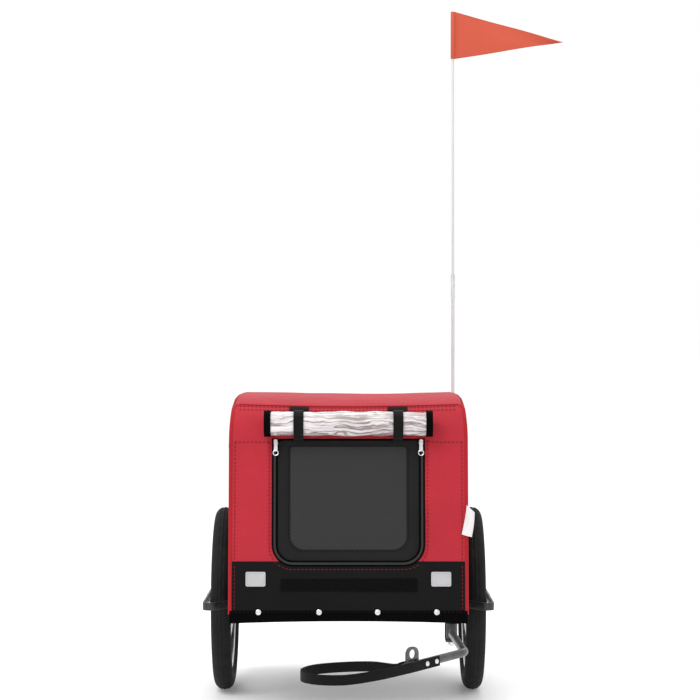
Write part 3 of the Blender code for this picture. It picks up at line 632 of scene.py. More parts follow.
def stitches(name, path, normal, look, body="root", stitch=STITCH, slot=None):
    """A row of raised stitches along a path, just clear of the cloth."""
    length, gap, radius = stitch
    bm = bmesh.new()
    run = resample(path, (length + gap) / 2)
    for a, b in zip(run[0::2], run[1::2]):
        axes = axes_along((b - a).normalized(), Vector(normal))
        size = Matrix.Diagonal((radius * 1.6, length / 2, radius, 1))
        bmesh.ops.create_uvsphere(
            bm, u_segments=6, v_segments=4, radius=1,
            matrix=Matrix.Translation((a + b) / 2) @ axes @ size @ Matrix.Rotation(math.pi / 2, 4, "X"),
        )
    return finish_piece(name, bm, look, body, slot=slot)


# The shape of the cabin

def h(height):
    return GROUND + height


def panel_y(height):
    return FOOT.x + (height - FOOT.y) * math.tan(LEAN)


def face(x, height, proud=0.0):
    """A point in front of the front end's straight face."""
    return Vector((x, panel_y(height) - proud * math.cos(LEAN), h(height) + proud * math.sin(LEAN)))


FACE_OUT = Vector((0, -math.cos(LEAN), math.sin(LEAN)))
CURVE_MIDDLE = 2 * SHOULDER - (CREASE + SEAM) / 2
STRAIGHT = 0.8  # share of the profile's parameter that the straight face takes


def profile(s):
    """The front end's outline (y, height) and its outward normal."""
    if s <= STRAIGHT:
        point, along = FOOT.lerp(CREASE, s / STRAIGHT), CREASE - FOOT
    else:
        t = (s - STRAIGHT) / (1 - STRAIGHT)
        point = CREASE * (1 - t) ** 2 + CURVE_MIDDLE * 2 * t * (1 - t) + SEAM * t * t
        along = (CURVE_MIDDLE - CREASE) * (1 - t) + (SEAM - CURVE_MIDDLE) * t
    along = along.normalized()
    return point, Vector((-along.y, along.x))


def profile_at(height):
    """The profile's parameter at a height."""
    low, high = 0.0, 1.0
    for _ in range(24):
        middle = (low + high) / 2
        if profile(middle)[0].y < height:
            low = middle
        else:
            high = middle
    return low


def half_width(height):
    """Half the cabin's width, which draws in a little above the crease."""
    rise = max(0.0, height - CREASE.y) / (ROOF - CREASE.y)
    return HALF_WIDTH - DRAW_IN * rise * rise


def half_length(height):
    return -profile(profile_at(height))[0].x


def end_half_width(height):
    """The end cloth's half width, which rounds over into the roof."""
    start = SEAM.y - ROOF_CORNER
    if height <= start:
        return half_width(height)
    rise = min(ROOF_CORNER, height - start)
    return half_width(start) - ROOF_CORNER + math.sqrt(ROOF_CORNER**2 - rise**2)


def end_width(s):
    return end_half_width(profile(s)[0].y)


def straight_share(height):
    """The profile's parameter at a height on the straight face, or just below its foot."""
    return (height - FOOT.y) / (CREASE.y - FOOT.y) * STRAIGHT


def ripple(point, size, amount):
    return amount * noise.noise(Vector(point) * size)


def seam_sag(x):
    """How far the roof's front and rear seams sag between the cabin's corners."""
    return 0.005 * max(0.0, 1 - (x / 0.23) ** 2)


def end_point(x, s, proud=0.0):
    """A point on the front end's cloth, with its slight slackness."""
    (y, z), (ny, nz) = profile(s)
    edge = max(0.0, 1 - (abs(x) / HALF_WIDTH) ** 4)
    slack = (ripple((x, 0, z), 9, 0.0022) + ripple((x * 0.5, 4, z), 26, 0.0007)) * edge
    upper = max(0.0, (s - STRAIGHT) / (1 - STRAIGHT))
    out = proud + slack * (1 - upper)
    return Vector((x, y + ny * out, h(z + nz * out - seam_sag(x) * upper ** 2)))


def hem_foot(x):
    """Height of the end cloth's lower edge, which lifts a little in the middle."""
    return 0.1905 - 0.0045 * (x / HALF_WIDTH) ** 2


def in_door(point):
    """Is a point of the front end inside the door's opening?"""
    x, z = abs(point.x), point.z - GROUND
    half, low, high = DOOR_HALF + 0.002, DOOR_BOTTOM - 0.002, DOOR_TOP + 0.003
    if x > half or not low < z < high:
        return False
    cx, cz = half - DOOR_CORNER, low + DOOR_CORNER
    return not (x > cx and z < cz and math.hypot(x - cx, z - cz) > DOOR_CORNER)


def local_side(end, side):
    """A side's sign in the front end's own directions; the rear end is turned round."""
    return side if end == "front" else -side


def on_face(turn, points, proud):
    return [turn @ face(p[0], p[1], proud) for p in points]


def build_end(end, turn):
    """One end of the cabin, made at the front and turned to its place."""
    out = turn.to_3x3() @ FACE_OUT
    build_panels(end, turn)
    build_seams(end, turn, out)
    build_zip(end, turn, out)
    build_trim(end, turn, out)
    build_door(end, turn, out)


def build_panels(end, turn):
    """The red upper cloth, the black lower cloth, the hem and the hook-and-loop band."""
    split = profile_at(BLACK_TOP)
    lap = 0.002

    def in_opening(point):
        return in_door(turn.inverted() @ point)

    def red(u, v):
        s = split + (1 - split) * v
        return turn @ end_point((2 * u - 1) * end_width(s), s)

    upper = cloth_sheet(f"{end}_panel_red", 110, 76, red, "red", thickness=PANEL_CLOTH, hole=in_opening)
    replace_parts(upper, f"cover_{end}")

    def black(u, v):
        x = (2 * u - 1) * HALF_WIDTH
        height = hem_foot(x) + (BLACK_TOP + lap - hem_foot(x)) * v
        return turn @ end_point(x, straight_share(height), 0.0007)

    lower = cloth_sheet(
        f"{end}_panel_black", 100, 28, black, "black", thickness=PANEL_CLOTH, hole=in_opening
    )

    def hem(u, v):
        x = (2 * u - 1) * (HALF_WIDTH + 0.0006)
        height = hem_foot(x) - 0.0008 + (HEM_TOP - hem_foot(x)) * v
        bulge = 0.0012 * math.sin(math.pi * v) ** 0.5
        return turn @ end_point(x, straight_share(height), 0.0012 + bulge)

    cloth_sheet(f"{end}_hem", 100, 8, hem, "hem", thickness=0.0014)
    start, length, foot, height = -0.139, 0.28, 0.250, 0.026

    def band(u, v):
        x = start + length * u
        return turn @ (face(x, foot + height * v, 0.0022) + FACE_OUT * ripple((x, 0, v), 20, 0.0004))

    cloth_sheet(f"{end}_loop_band", 40, 6, band, "loop")


def build_seams(end, turn, out):
    """The piping along the end's edges and roof seam, and the stitched lines beside them."""
    foot = profile_at(0.2035)
    x = 0.2335  # the stitches beside the edge piping
    lines = ((0.215, 0.305, "red_thread", 0.0012), (0.315, 0.555, "dark_thread", 0.0006))
    flat = bar_profile(0.0045, 0.0078, 0.0020, 3)
    for side_name, side in SIDES.items():
        edge = [turn @ end_point(side * (end_width(s) - 0.0005), s, -0.0010) for s in spread(foot, 1, 60)]
        sweep(f"{end}_edge_piping_{side_name}", edge, flat, "piping", (1, 0, 0))
        for i, (low, high, look, proud) in enumerate(lines):
            row = [turn @ end_point(side * x, profile_at(z), proud) for z in spread(low, high, 30)]
            stitches(f"{end}_edge_stitches_{side_name}_{i}", row, out, look)
    line = on_face(turn, [(x, HEM_TOP - 0.004) for x in (-0.24, 0, 0.24)], 0.0042)
    stitches(f"{end}_hem_stitches", line, out, "black_thread")

    seam = [turn @ end_point(x, 1.0, 0.0012) for x in spread(-0.228, 0.228, 60)]
    sweep(f"{end}_roof_piping", seam, round_profile(0.0016, 10), "red")
    for i, s in enumerate((0.985, 0.960)):
        row = [turn @ end_point(x, s, 0.0006) for x in spread(-0.226, 0.226, 60)]
        lean = turn.to_3x3() @ Vector((0, *profile(s)[1]))
        stitches(f"{end}_roof_stitches_{i}", row, lean, "dark_thread")
    for side_name, side in SIDES.items():
        row = [turn @ end_point(side * x, STRAIGHT - 0.012, 0.0006) for x in spread(0.164, 0.238, 20)]
        stitches(f"{end}_crease_stitches_{side_name}", row, out, "dark_thread")


def door_run(half, low, top, radius):
    """A line down one side of the door, round its foot and up the other side."""
    return filleted([(half, top, 0), (half, low, 0), (-half, low, 0), (-half, top, 0)], radius, 10)


def build_zip(end, turn, out):
    """The zip's tape, welt and teeth round the door, and the stitched line outside them."""
    track = door_run(ZIP_X, DOOR_BOTTOM - 0.0025, DOOR_TOP + 0.004, 0.038)
    tape = resample(on_face(turn, track, 0.0018), 0.006)
    sweep(f"{end}_zip_tape", tape, bar_profile(0.0120, 0.0012, 0.0005, 2), "hem", out)
    welt = resample(on_face(turn, track, 0.0030), 0.006)
    sweep(f"{end}_zip_welt", welt, bar_profile(0.0048, 0.0018, 0.0008, 2), "coil", out)
    teeth = bmesh.new()
    tooth_pitch, tooth = 0.0026, Matrix.Diagonal((0.0034, 0.0014, 0.0012, 1))
    run = resample(welt, tooth_pitch)
    for a, b in zip(run, run[1:]):
        place = Matrix.Translation((a + b) / 2 + out * 0.0009) @ axes_along((b - a).normalized(), out)
        bmesh.ops.create_cube(teeth, size=1, matrix=place @ tooth)
    finish_piece(f"{end}_zip_teeth", teeth, "coil")

    around = door_run(ZIP_X + 0.0115, DOOR_BOTTOM - 0.0145, DOOR_TOP, 0.048)
    change = BLACK_TOP - 0.002
    under = [p for p in around if p.y < change]
    stitches(f"{end}_door_stitches_foot", on_face(turn, under, 0.0018), out, "red_thread")
    for side_name, side in SIDES.items():
        beside = [p for p in around if p.y >= change and p.x * side > 0]
        stitches(f"{end}_door_stitches_{side_name}", on_face(turn, beside, 0.0012), out, "dark_thread")


def build_trim(end, turn, out):
    """The snap rivets through the hem and the reflectors on the black panel."""
    dome = [(0, 0.0026), (0.0022, 0.0025), (0.0024, 0.0019), (0.0042, 0.0018), (0.0056, 0.0010),
            (0.0060, 0.0002), (0.0060, -0.0008), (0, -0.0008)]
    for i, x in enumerate((-0.184, -0.060, 0.060, 0.181)):
        rivet = bmesh.new()
        lathe_into(rivet, dome, 28, facing(turn @ face(x, 0.208, 0.0032), out))
        finish_piece(f"{end}_snap_rivet_{i}", rivet, "zinc", smooth=30)
    look = "white_lens" if end == "front" else "red_lens"
    x, height, half_x, half_z, corner = 0.190, 0.275, 0.0205, 0.015, 0.0034
    section = ((0, 0.0008), (0, 0.0046), (0.0006, 0.0054), (0.0026, 0.0054), (0.0034, 0.0046))
    for side_name, side in SIDES.items():
        reflector = bmesh.new()
        loops = []
        for inset, proud in section:
            a, b = half_x - inset, half_z - inset
            outline = rounded([(a, -b), (a, b), (-a, b), (-a, -b)], [corner - inset * 0.6] * 4, 4)
            middle = Vector((local_side(end, side) * x, height))
            loops.append(on_face(turn, [middle + p for p in outline], proud))
        add_loops(reflector, loops)
        piece = finish_piece(f"{end}_reflector_{side_name}", reflector, look, smooth=30)
        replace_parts(piece, f"reflector_{end}_{side_name}")


def build_door(end, turn, out):
    """A door of netting in a cloth border, on the door's own body, and its two zip sliders."""
    body = f"{end}_door"
    outer = rounded(
        [(DOOR_HALF, DOOR_TOP), (-DOOR_HALF, DOOR_TOP),
         (-DOOR_HALF, DOOR_BOTTOM), (DOOR_HALF, DOOR_BOTTOM)],
        [0.008, 0.008, DOOR_CORNER, DOOR_CORNER], 10,
    )
    middle = Vector((0, (DOOR_TOP + DOOR_BOTTOM) / 2))
    half_height = (DOOR_TOP - DOOR_BOTTOM) / 2

    def border_point(p, inset):
        """p moved in from the door's outline, by half as much at the top."""
        d = p - middle
        rise = inset * (0.5 if d.y > 0 else 1.0)
        x = d.x * (DOOR_HALF - inset) / DOOR_HALF
        return middle + Vector((x, d.y * (half_height - rise) / half_height))

    border = bmesh.new()
    section = ((0.0, -0.0016), (0.0, 0.0002), (0.0012, 0.0012), (0.0120, 0.0016), (0.0240, 0.0006),
               (0.0262, -0.0004), (0.0262, -0.0016))
    loops = [on_face(turn, [border_point(p, inset) for p in outer], proud) for inset, proud in section]
    add_loops(border, loops, caps=False, closed_along=True)
    frame_piece = finish_piece(f"{end}_door_border", border, "border", body, 50)
    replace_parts(frame_piece, body)
    lap = 0.013  # how far the border covers the net
    net_half, net_rise = DOOR_HALF - lap, DOOR_TOP - DOOR_BOTTOM - 0.022

    def net(u, v):
        x, z = (2 * u - 1) * net_half, DOOR_BOTTOM + lap + net_rise * v
        swell = 0.0012 * math.sin(math.pi * u) * math.sin(math.pi * v) + ripple((x, 0, z), 12, 0.0007)
        return turn @ face(x, z, -0.0008 + swell)

    sheet = cloth_sheet(f"{end}_door_net", 50, 44, net, "net", body, 0.0006)
    line = [border_point(p, 0.0225) for p in [*outer, outer[0]]]
    stitches(f"{end}_door_stitches", on_face(turn, line, 0.0013), out, "black_thread", body)
    for side_name, side in SIDES.items():
        build_slider(end, side_name, turn, out, local_side(end, side))


def build_slider(end, side_name, turn, out, side):
    """A zip slider: its body, the bridge over it, the pull tab and the tab's ring."""
    centre = turn @ face(side * (ZIP_X - 0.002), DOOR_TOP - 0.004, 0.0048)
    across = turn.to_3x3() @ Vector((1, 0, 0))
    down = out.cross(across).normalized()
    if down.z > 0:
        down = -down

    def at(a, d, o):
        return centre + across * a + down * d + out * o

    slider = bmesh.new()
    block = [(-0.0042, -0.0015), (0.0042, -0.0015), (0.0042, 0.0004), (0.0030, 0.0015),
             (-0.0030, 0.0015), (-0.0042, 0.0004)]
    ends = ((-0.0058, 0.75), (-0.0045, 1.0), (0.0040, 1.0), (0.0058, 0.62))
    add_loops(slider, [[at(a * scale, d, o) for a, o in block] for d, scale in ends])
    bridge = [at(0, d, o) for d, o in
              ((-0.004, 0.001), (-0.002, 0.0032), (0.0022, 0.0034), (0.0042, 0.001))]
    sweep_into(slider, smooth_path(bridge, 4), bar_profile(0.0022, 0.0008, 0.0003, 1), up=across)
    tab = rounded(
        [(-0.0034, 0.003), (-0.0042, 0.019), (0.0042, 0.019), (0.0034, 0.003)],
        [0.0028, 0.0038, 0.0038, 0.0028], 5,
    )
    middle = 0.011
    loops = []
    for inset, o in ((0.0004, 0.0016), (0.0, 0.0020), (0.0, 0.0027), (0.0004, 0.0031)):
        thin, short = 1 - inset * 120, 1 - inset * 30
        loops.append([at(p.x * thin, middle + (p.y - middle) * short, o) for p in tab])
    add_loops(slider, loops)
    radius = 0.0052
    ring = [at(radius * math.cos(a), 0.0218 + radius * math.sin(a), 0.0024) for a in circle(24)]
    sweep_into(slider, ring, round_profile(0.0012, 8), up=out, closed=True)
    body = f"zip_pull_{end}_{side_name}"
    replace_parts(finish_piece(f"zip_slider_{end}_{side_name}", slider, "zinc", body, 35), body)


# The canopy over roof and sides

WINDOW_FOOT, WINDOW_TOP = 0.345, 0.566
FOOT_REACH, TOP_REACH = 0.186, 0.160  # half the window's length at its foot and its top
WINDOW = [
    (-FOOT_REACH, WINDOW_FOOT), (FOOT_REACH, WINDOW_FOOT), (TOP_REACH, WINDOW_TOP), (-TOP_REACH, WINDOW_TOP)
]
WINDOW_CORNER = 0.034
SIDE_SHARE, CORNER_SHARE = 0.36, 0.05  # shares of canopy_point's q for a side and a roof corner


def roof_height(t):
    return ROOF - (ROOF - SEAM.y) * abs(t) ** 6


def canopy_point(q, t, proud=0.0):
    """q runs from the left foot (0) over the roof to the right foot (1), and t from front to rear."""
    side = LEFT if q < 0.5 else RIGHT
    q = q if q < 0.5 else 1 - q
    top = roof_height(t)
    shoulder = top - ROOF_CORNER
    edge = max(0.0, 1 - abs(t) ** 4)
    if q <= SIDE_SHARE:
        z = SIDE_FOOT + (shoulder - SIDE_FOOT) * q / SIDE_SHARE
        depth = half_length(z)
        x = half_width(z) + proud + ripple((t * depth, 3, z), 7, 0.0018) * edge
        return Vector((side * x, t * depth, h(z)))
    flat_half = half_width(shoulder) - ROOF_CORNER
    if q <= SIDE_SHARE + CORNER_SHARE:
        turn = (q - SIDE_SHARE) / CORNER_SHARE * math.pi / 2
        radius = ROOF_CORNER + proud
        depth = half_length(shoulder)
        depth += (-SEAM.x - depth) * math.sin(turn)
        z = shoulder + radius * math.sin(turn)
        return Vector((side * (flat_half + radius * math.cos(turn)), t * depth, h(z)))
    share = (q - SIDE_SHARE - CORNER_SHARE) / (0.5 - SIDE_SHARE - CORNER_SHARE)
    x = side * flat_half * (1 - share)
    sag = seam_sag(x) * abs(t) ** 3 + 0.003 * (1 - (x / 0.23) ** 2) * edge
    loose = ripple((x, t * 0.257, 9), 6, 0.0030) + ripple((x, t * 0.257, 2), 17, 0.0010)
    z = top - sag + loose * edge * min(1, share * 4) + proud
    return Vector((x, t * -SEAM.x, h(z)))


def in_window(point, grow=0.0):
    """Is a point of the canopy inside a side window's opening, widened by grow?"""
    y, z = abs(point.y), point.z - GROUND
    low, high = WINDOW_FOOT - grow, WINDOW_TOP + grow
    if not low < z < high or abs(point.x) < 0.2:
        return False
    slope = (FOOT_REACH - TOP_REACH) / (high - low)

    def reach(height):
        return FOOT_REACH + grow - slope * (height - low)

    if y > reach(z):
        return False
    foot, top = low + WINDOW_CORNER, high - WINDOW_CORNER
    for middle, beyond in ((foot, z < foot), (top, z > top)):
        start = reach(middle) - WINDOW_CORNER
        if beyond and y > start and math.hypot(y - start, z - middle) > WINDOW_CORNER:
            return False
    return True


def build_canopy():
    """One continuous red sheet from foot to foot, with the windows and bands of both sides."""
    canopy = cloth_sheet(
        "canopy", 230, 110, lambda u, v: canopy_point(u, 2 * v - 1), "red",
        thickness=PANEL_CLOTH, hole=in_window,
    )
    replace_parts(canopy, "cover_left", "cover_right", "cover_roof")
    for side_name, side in SIDES.items():
        build_side(side_name, side)


def build_side(side_name, side):
    """One side's window, black band, roof edge piping and stitches."""
    out = Vector((side, 0, 0))

    def on_side(y, z, proud):
        return Vector((side * (half_width(z) + proud + ripple((y, 3, z), 7, 0.0018)), y, h(z)))

    outline = rounded(WINDOW, [WINDOW_CORNER] * 4, 10)
    binding = resample([on_side(p.x, p.y, 0.0010) for p in outline], 0.008, closed=True)
    tape = bar_profile(0.017, 0.0030, 0.0012, 2)
    sweep(f"window_binding_{side_name}", binding, tape, "hem", out, closed=True)
    middle = Vector((0, (WINDOW_FOOT + WINDOW_TOP) / 2))
    for label, scale in (("inner", 0.96), ("outer", 1.04)):
        ring = [middle + (p - middle) * scale for p in [*outline, outline[0]]]
        path = [on_side(p.x, p.y, 0.0029) for p in ring]
        stitches(f"window_stitches_{label}_{side_name}", path, out, "black_thread")

    def net(u, v):
        z = WINDOW_FOOT + (WINDOW_TOP - WINDOW_FOOT) * v
        y = (2 * u - 1) * (FOOT_REACH + (TOP_REACH - FOOT_REACH) * v)
        swell = 0.004 * math.sin(math.pi * u) * math.sin(math.pi * v) + ripple((y, 5, z), 10, 0.0012)
        return on_side(y, z, -0.0022 + swell)

    window = cloth_sheet(f"window_net_{side_name}", 60, 40, net, "net", thickness=0.0006,
                         hole=lambda p: not in_window(p, 0.004))
    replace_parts(window, f"side_window_{side_name}")

    def foot_band(u, v):
        z = SIDE_FOOT - 0.0005 + (BLACK_TOP - SIDE_FOOT) * v
        return on_side((2 * u - 1) * (half_length(z) - 0.003), z, 0.0010)

    cloth_sheet(f"side_band_{side_name}", 110, 20, foot_band, "black")
    lines = (("top", BLACK_TOP - 0.005, "red_thread"), ("foot", SIDE_FOOT + 0.006, "black_thread"))
    for label, z, look in lines:
        row = [on_side(y, z, 0.0019) for y in spread(-0.305, 0.305, 60)]
        stitches(f"band_stitches_{label}_{side_name}", row, out, look, slot="black_fabric")

    def along_roof(from_foot, reach, proud):
        """A line along the roof's edge; from_foot is its q on the left side."""
        q = from_foot if side == LEFT else 1 - from_foot
        return [canopy_point(q, t, proud) for t in spread(-reach, reach, 80)]

    edge = SIDE_SHARE + CORNER_SHARE * 0.15
    seam = along_roof(edge, 0.985, 0.0010)
    sweep(f"roof_edge_piping_{side_name}", seam, round_profile(0.0020, 8), "piping")
    row = along_roof(edge + 0.0192, 0.97, 0.0008)
    stitches(f"roof_edge_stitches_{side_name}", row, (0, 0, 1), "dark_thread")


# The rolled rain cover

ROLL = Vector((-0.3235, 0.5935))  # its middle (y, h)
ROLL_RADIUS = 0.0275
ROLL_HALF = 0.172
ROLL_STRAP_X = 0.102


def build_roll():
    """The clear sheet rolled up above the front door, bound in black at its ends, with two straps."""
    centre = Vector((0, ROLL.x, h(ROLL.y)))

    def skin(x, turn):
        """A crumpled skin that is pinched by the straps."""
        pinch = sum(math.exp(-((x - s * ROLL_STRAP_X) / 0.016) ** 2) for s in (1, -1))
        around = Vector((x * 9, math.cos(turn) * 0.9, math.sin(turn) * 0.9))
        crumple = 0.0034 * noise.noise(around * 1.7)
        crumple += 0.0016 * noise.noise(around * 4.1 + Vector((3, 7, 1)))
        end = math.exp(-((abs(x) - ROLL_HALF) / 0.016) ** 2)
        radius = ROLL_RADIUS - 0.0030 + crumple * (1 - 0.8 * max(end, min(1, pinch))) - 0.0012 * pinch
        return centre + Vector((x, math.cos(turn) * radius, math.sin(turn) * radius))

    bm = bmesh.new()
    add_loops(bm, [[skin(x, a) for a in circle(56)] for x in spread(-ROLL_HALF, ROLL_HALF, 150)])
    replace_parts(finish_piece("rain_cover_film", bm, "film", smooth=70), "rain_cover_roll")
    for side_name, side in SIDES.items():
        build_binding(side_name, side, centre)
        build_roll_strap(side_name, side * ROLL_STRAP_X, centre)


def build_binding(side_name, side, centre):
    """The roll's bound end: nested rings of tape, a little out of round."""
    thickness = 0.0030
    bm = bmesh.new()
    for inset in (0.0, 0.0062, 0.0124, 0.0180):
        start, end = side * (ROLL_HALF - 0.013), side * (ROLL_HALF + 0.0008 - inset * 0.06)
        radius = ROLL_RADIUS - 0.0005 - inset
        ring = [(radius, start), (radius, end), (radius - thickness, end), (radius - thickness, start)]
        loops = []
        for a in circle(48):
            wobble = 1 + 0.025 * noise.noise(Vector((math.cos(a), math.sin(a), 5 + inset * 90)))
            loops.append([
                centre + Vector((x, math.cos(a) * r * wobble, math.sin(a) * r * wobble)) for r, x in ring
            ])
        add_loops(bm, loops, closed_along=True, caps=False)
    finish_piece(f"roll_binding_{side_name}", bm, "hem")


def build_roll_strap(side_name, x, centre):
    """A strap round the roll, its tail below and its head up to a sewn patch at the roof seam."""
    around = []
    for degrees in spread(-62, 248, 48):
        a = math.radians(degrees)
        radius = ROLL_RADIUS + 0.0002 + 0.0012 * max(0.0, math.cos(a + 2.2))
        around.append(centre + Vector((x, -math.cos(a) * radius, math.sin(a) * radius)))
    tail = [Vector((x, ROLL.x + dy, h(z))) for dy, z in
            ((-0.0085, 0.5685), (-0.006, 0.5655), (0.000, 0.5625), (0.005, 0.5600), (0.0065, 0.5575))]
    head = [end_point(x, profile_at(z), proud) for z, proud in
            ((0.6285, 0.0018), (0.6230, 0.0022), (0.6170, 0.0042))]
    head.append(centre + Vector((x, 0.004, ROLL_RADIUS + 0.0012)))
    strap = bmesh.new()
    for path in (around, smooth_path(tail, 5), smooth_path(head, 5)):
        sweep_into(strap, path, bar_profile(0.0014, 0.0205, 0.0005, 1), up=(1, 0, 0))
    piece = finish_piece(f"roll_strap_band_{side_name}", strap, "webbing")
    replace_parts(piece, f"roll_strap_{side_name}")

    def patch(u, v):
        return end_point(x + (u - 0.5) * 0.041, profile_at(0.6200 + 0.0080 * v), 0.0030)

    cloth_sheet(f"strap_patch_{side_name}", 12, 4, patch, "webbing", thickness=0.0014)


def build_label():
    """A blank white cloth label, folded into the seam of the left edge."""
    foot_line = Vector((0.2325, 0.3665)), Vector((0.2531, 0.3610))
    top_line = Vector((0.2428, 0.4261)), Vector((0.2588, 0.4117))

    def place(u, v):
        x, z = foot_line[0].lerp(foot_line[1], u).lerp(top_line[0].lerp(top_line[1], u), v)
        y = panel_y(z) - 0.0050 - 0.0045 * math.sin(math.pi * u) - 0.003 * u + 0.002 * math.sin(5 * v + u)
        return Vector((x + 0.0012 * math.sin(3 * v), y, h(z)))

    cloth_sheet("side_label", 12, 24, place, "label", thickness=0.0007)


def build_side_tab():
    """A short webbing tab at the right shoulder, which holds the side cover when it is rolled up."""
    path = [Vector((-x, -0.292, h(z))) for x, z in
            ((0.2410, 0.5570), (0.2440, 0.5560), (0.2452, 0.5470), (0.2440, 0.5380), (0.2410, 0.5370))]
    sweep("side_tab", smooth_path(path, 5), bar_profile(0.0034, 0.018, 0.0012, 2), "webbing", (0, 1, 0))


# Wheels

def wheel_place(side):
    """Puts a point of a wheel, given about its axle, in the frame."""
    return lambda v: Vector((side * (TRACK + v.z), v.x, AXLE + v.y))


def build_tyre(side_name):
    bead, crown, outer_radius, half_width_of_tyre = 0.1525, 0.1775, 0.1995, 0.0213
    tread_from, wall_from, rib, groove_edge = 0.1925, 0.184, 0.0036, 0.0056
    flank = [(bead, -0.0108), (bead + 0.004, -0.0122), (0.160, -0.0150)]
    section = flank[:]
    for degrees in spread(-28, 208, 24):
        a = math.radians(degrees)
        grow = outer_radius - crown if math.sin(a) > 0 else 0.019
        bulge = grow * abs(math.sin(a)) ** 0.92 * math.copysign(1, math.sin(a))
        section.append((crown + bulge, -half_width_of_tyre * math.cos(a)))
    section += mirror(flank)
    inner = [(bead, 0.0085), (0.162, 0.0125), (0.174, 0.0165), (0.188, 0.0120)]
    inner += [(0.192, 0)] + mirror(inner)
    place = wheel_place(SIDES[side_name])
    loops = []
    for i, a in enumerate(circle(216)):
        cut = i % 6 < 1  # every sixth step is a gap between tread blocks
        loop = []
        for r, z in section:
            if r > tread_from and (cut and abs(z) >= rib or rib < abs(z) < groove_edge):
                r -= 0.0013
            elif wall_from < r <= tread_from and cut:
                r -= 0.0006
            loop.append((r, z))
        loops.append([place(Vector((r * math.cos(a), r * math.sin(a), z))) for r, z in loop + inner])
    bm = bmesh.new()
    add_loops(bm, loops, closed_along=True, caps=False)
    piece = finish_piece(f"wheel_tyre_{side_name}", bm, "tyre", f"wheel_{side_name}", 30)
    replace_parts(piece, f"tyre_{side_name}")


def build_rim(side_name):
    half = [
        (0.1400, 0.0040), (0.1412, 0.0085), (0.1450, 0.0130), (0.1470, 0.0142), (0.1572, 0.0145),
        (0.1580, 0.0138), (0.1580, 0.0128), (0.1570, 0.0122), (0.1524, 0.0122), (0.1490, 0.0060),
    ]
    bm = bmesh.new()
    lathe_into(bm, half + mirror(half), 120, wheel_place(SIDES[side_name]), ring=True)
    piece = finish_piece(f"wheel_rim_{side_name}", bm, "rim", f"wheel_{side_name}", 30)
    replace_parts(piece, f"rim_{side_name}")


def build_hub(side_name):
    """The hub, 20 crossed spokes with their nipples, and the tube's valve."""
    place = wheel_place(SIDES[side_name])
    body = f"wheel_{side_name}"
    half = 0.023
    section = [
        (0.0064, half + 0.005), (0.0090, half + 0.005), (0.0100, half + 0.004), (0.0100, half),
        (0.0212, half), (0.0220, half - 0.0008), (0.0220, half - 0.0022), (0.0212, half - 0.003),
        (0.0135, half - 0.004), (0.0115, half - 0.008), (0.0108, 0.0),
    ]
    bm = bmesh.new()
    lathe_into(bm, section + mirror(section[:-1]), 48, place, ring=True)
    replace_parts(finish_piece(f"wheel_hub_{side_name}", bm, "rim", body, 30), f"hub_{side_name}")
    hole_radius, rim_radius, flange_z, cross = 0.0185, 0.1400, 0.0215, math.radians(28)
    spokes = bmesh.new()
    for i, a in enumerate(circle(20)):
        flange = flange_z if i % 2 else -flange_z
        b = a + (cross if i % 4 < 2 else -cross)
        start = Vector((hole_radius * math.cos(b), hole_radius * math.sin(b), flange))
        end = Vector((rim_radius * math.cos(a), rim_radius * math.sin(a), flange * 0.12))
        points = [place(start.lerp(end, t)) for t in spread(0, 1, 4)]
        sweep_into(spokes, points, round_profile(0.0010, 8), up=(1, 0.01, 0))
        along = (end - start).normalized()
        nipple = [place(end - along * d) for d in (0.012, 0.009, 0.0)]
        sweep_into(spokes, nipple, round_profile(0.0019, 8), up=(1, 0.01, 0))
    finish_piece(f"wheel_spokes_{side_name}", spokes, "zinc", body, slot="rim_metal")
    stem = [(0, 0.0), (0.0042, 0.0), (0.0042, 0.006), (0.0030, 0.008), (0.0030, 0.022), (0.0038, 0.0225),
            (0.0038, 0.033), (0.0030, 0.034), (0, 0.034)]
    beside_spoke = Matrix.Rotation(0.16, 3, "Z")
    valve = bmesh.new()
    lathe_into(valve, stem, 20, lambda v: place(Vector((rim_radius - v.z, v.x, v.y)) @ beside_spoke))
    finish_piece(f"wheel_valve_{side_name}", valve, "plastic", body, 30, "tyre")


def build_guard(side_name):
    """The flat bar round the outside of a wheel, with its axle tab, and the axle's washer."""
    side = SIDES[side_name]
    outside = 0.3022
    half = [(0.2328, -0.176), (0.288, -0.262), (outside, -0.240)]
    path = [(side * x, y, h(0.2095)) for x, y in half + mirror(half)]
    bm = bmesh.new()
    sweep_into(bm, filleted(path, 0.014, 8), bar_profile(0.005, 0.0165, 0.0010, 3))
    tab_top, tab_foot, middle = 0.214, 0.186, 0.200
    tab = rounded(
        [(0.026, tab_top), (-0.026, tab_top), (-0.012, tab_foot), (0.012, tab_foot)],
        [0.002, 0.002, 0.008, 0.008], 5,
    )
    loops = []
    for inset, x in ((0.04, -0.0023), (0.0, -0.0017), (0.0, 0.0017), (0.04, 0.0023)):
        scale = 1 - inset
        loops.append([
            Vector((side * (outside + x), p.x * scale, h(middle + (p.y - middle) * scale))) for p in tab
        ])
    add_loops(bm, loops)
    piece = finish_piece(f"guard_bar_{side_name}", bm, "black_steel", smooth=30, slot="coated_steel")
    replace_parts(piece, f"wheel_guard_{side_name}")
    washer = bmesh.new()
    ring = [(0.0064, 0.0), (0.0115, 0.0), (0.0115, 0.0012), (0.0064, 0.0012)]
    lathe_into(washer, ring, 32, lambda v: Vector((side * (0.2990 - v.z), v.x, AXLE + v.y)), ring=True)
    finish_piece(f"axle_washer_{side_name}", washer, "zinc", smooth=30)


# Tow arm

def tow_frame():
    """The directions along the arm's last length and level across it."""
    along = (TOW_END - TOW_BEND).normalized()
    return along, along.cross(Vector((0, 0, 1))).normalized()


